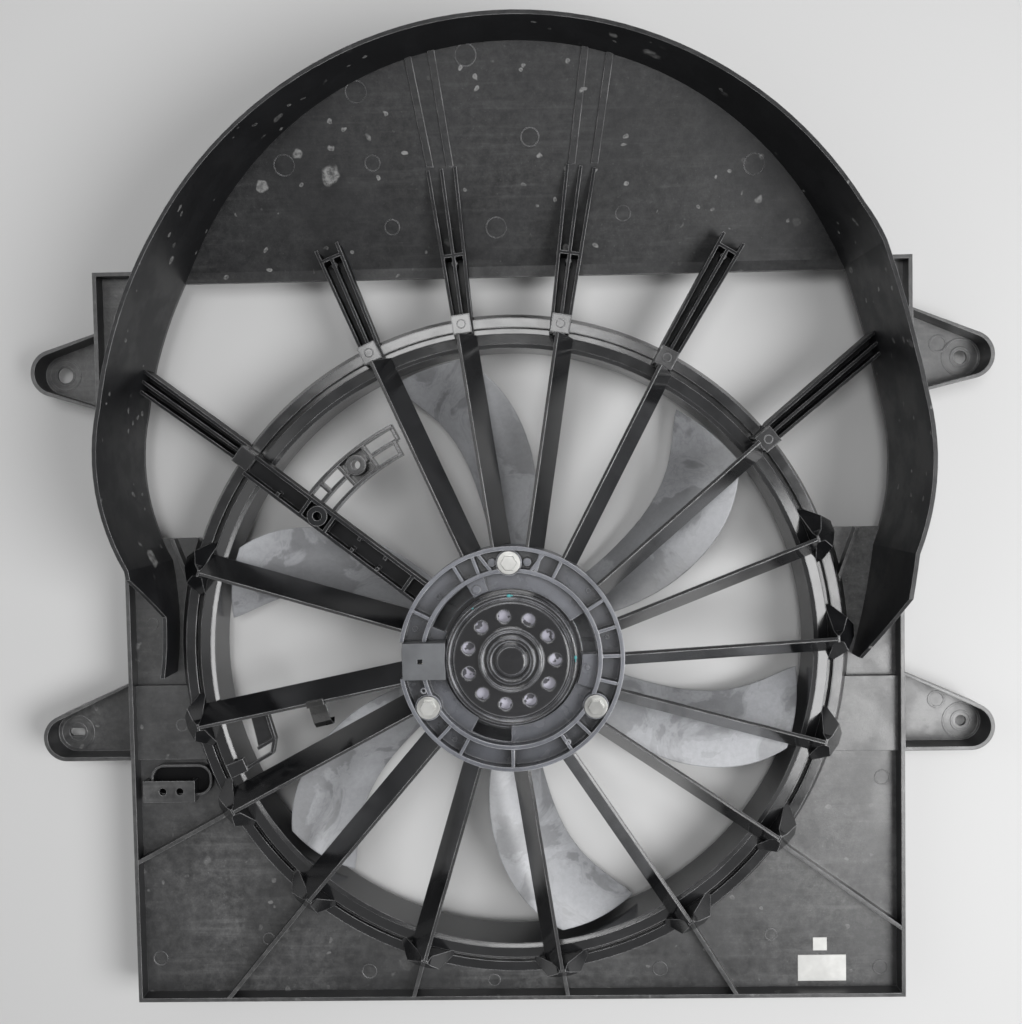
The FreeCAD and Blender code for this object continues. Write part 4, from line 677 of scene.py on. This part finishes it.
class SHROUD_OT_paint(bpy.types.Operator):
    """Adds dabs of test paint on the rim of the motor's cap"""
    bl_idname = "shroud.paint"
    bl_label = "Test paint"

    def execute(self, context):
        tint = context.scene.shroud_finish
        mesh = bmesh.new()
        low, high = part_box("motor_end_cap")
        rim = (high.x - low.x) / 2.0 - DAB_INSET
        for angle, wide in DABS:
            turn = math.radians(angle)
            found = landed(("motor_end_cap",), rim * math.cos(turn),
                           rim * math.sin(turn) + AXIS.y)
            if found is None:
                raise RuntimeError("the paint found no rim")
            spot = (Matrix.Translation(found[0]) @ Matrix.Rotation(turn, 4, "Z")
                    @ Matrix.Diagonal((DAB_DEEP * wide, DAB_WIDE * wide, DAB_HIGH, 1.0)))
            bmesh.ops.create_icosphere(mesh, subdivisions=3, radius=1.0, matrix=spot)
        finish = finish_material("test paint", tint.paint, (0.3, 0.4), bump=0.1)
        made = piece("paint_dabs", mesh, finish, "cowl")
        for face in made.data.polygons:
            face.use_smooth = True
        return {"FINISHED"}


# ------------------------------------------------------------------ stage
# Lamps: name, place, diameter, and the setting that holds the power.
LAMPS = (("key", (0.98, -0.3, 1.34), 0.95, "key_power"),
         ("top", (-0.1, 0.38, 1.9), 0.7, "top_power"),
         ("fill", (-1.3, 0.2, 1.4), 1.2, "fill_power"))
# Camera: place from the fan's axis, turns about x, y and z in degrees, lens in millimetres.
CAMERA_AT, CAMERA_TURNS = (0.0191, 0.1366, 0.8528), (2.30, -1.22, 1.06)
SENSOR, LENS, SHIFT = 36.0, 36.99, -0.001
HORIZON, HIGH_SKY = 0.25, 0.95  # upward share of a glossy ray where the zenith's tone starts


class SHROUD_OT_stage(bpy.types.Operator):
    """Sets the pale floor, the soft lamps and the camera"""
    bl_idname = "shroud.stage"
    bl_label = "Stage"

    def execute(self, context):
        scene = context.scene
        setup = scene.shroud_stage
        mesh = bmesh.new()
        bmesh.ops.create_grid(mesh, x_segments=2, y_segments=2, size=setup.floor_size / 2.0)
        data = bpy.data.meshes.new("floor")
        mesh.to_mesh(data)
        mesh.free()
        floor = bpy.data.objects.new("floor", data)
        floor.location.z = -0.5 * MM
        scene.collection.objects.link(floor)
        pale = bpy.data.materials.new("pale floor")
        pale.use_nodes = True
        shader = pale.node_tree.nodes["Principled BSDF"]
        shader.inputs["Base Color"].default_value = (*[setup.floor_tone] * 3, 1.0)
        shader.inputs["Roughness"].default_value = 0.9
        data.materials.append(pale)

        for name, at, size, power in LAMPS:
            lamp = bpy.data.lights.new(name, "AREA")
            lamp.shape, lamp.size, lamp.energy = "DISK", size, getattr(setup, power)
            holder = bpy.data.objects.new(name, lamp)
            holder.location = at
            holder.rotation_euler = (-Vector(at)).to_track_quat("-Z", "Y").to_euler()
            scene.collection.objects.link(holder)

        world = bpy.data.worlds.new("studio")
        scene.world = world
        world.use_nodes = True
        tree = world.node_tree
        path = node(tree, "ShaderNodeLightPath").outputs
        shiny = maths(tree, "MAXIMUM", path["Is Glossy Ray"], path["Is Transmission Ray"])
        sky = tree.nodes["Background"]
        sky.inputs["Color"].default_value = (1, 1, 1, 1)
        height = node(tree, "ShaderNodeSeparateXYZ")
        feed(tree, height.inputs[0], node(tree, "ShaderNodeTexCoord").outputs["Generated"])
        shown = span(tree, height.outputs["Z"], HORIZON, HIGH_SKY, 1.0, setup.zenith)
        strength = span(tree, shiny, 0.0, 1.0, setup.sky, shown)
        feed(tree, sky.inputs["Strength"],
             span(tree, path["Is Camera Ray"], 0.0, 1.0, strength, 1.0))

        lens = bpy.data.cameras.new("camera")
        lens.sensor_fit, lens.sensor_width, lens.lens = "HORIZONTAL", SENSOR, LENS
        lens.shift_x = SHIFT
        lens.clip_start, lens.clip_end = 0.05, 30.0
        camera = bpy.data.objects.new("camera", lens)
        turn = Matrix.Identity(3)
        for degrees, axis in zip(CAMERA_TURNS, "XYZ"):
            turn = turn @ Matrix.Rotation(math.radians(degrees), 3, axis)
        eye = Vector(CAMERA_AT) + Vector((0.0, AXIS.y, 0.0))
        camera.matrix_world = Matrix.Translation(eye) @ turn.transposed().to_4x4()
        scene.collection.objects.link(camera)
        scene.camera = camera
        scene.view_settings.view_transform = "Standard"
        return {"FINISHED"}


class SHROUD_PT_panel(bpy.types.Panel):
    """Lists the steps and the colours"""
    bl_label = "Radiator Fan Shroud"
    bl_idname = "SHROUD_PT_panel"
    bl_space_type = "VIEW_3D"
    bl_region_type = "UI"
    bl_category = "Shroud"

    def draw(self, context):
        for settings in (context.scene.shroud_finish, context.scene.shroud_stage):
            for key in settings.__annotations__:
                self.layout.prop(settings, key)
        for step in STEPS:
            self.layout.operator(step.bl_idname)


STEPS = (SHROUD_OT_cowl, SHROUD_OT_motor, SHROUD_OT_fan, SHROUD_OT_small, SHROUD_OT_marks,
         SHROUD_OT_card, SHROUD_OT_harness, SHROUD_OT_paint, SHROUD_OT_stage)
CLASSES = (ShroudFinish, ShroudStage, *STEPS, SHROUD_PT_panel)


def register():
    """Registers the settings, the operators and the panel."""
    for kind in CLASSES:
        bpy.utils.register_class(kind)
    bpy.types.Scene.shroud_finish = PointerProperty(type=ShroudFinish)
    bpy.types.Scene.shroud_stage = PointerProperty(type=ShroudStage)


def unregister():
    """Takes them all away again."""
    del bpy.types.Scene.shroud_stage
    del bpy.types.Scene.shroud_finish
    for kind in reversed(CLASSES):
        bpy.utils.unregister_class(kind)


def main():
    """Registers the add-on and runs every step in order."""
    register()
    SHARED.update(shared_groups())
    for step in STEPS:
        family, name = step.bl_idname.split(".")
        getattr(getattr(bpy.ops, family), name)()


if __name__ == "__main__":
    main()
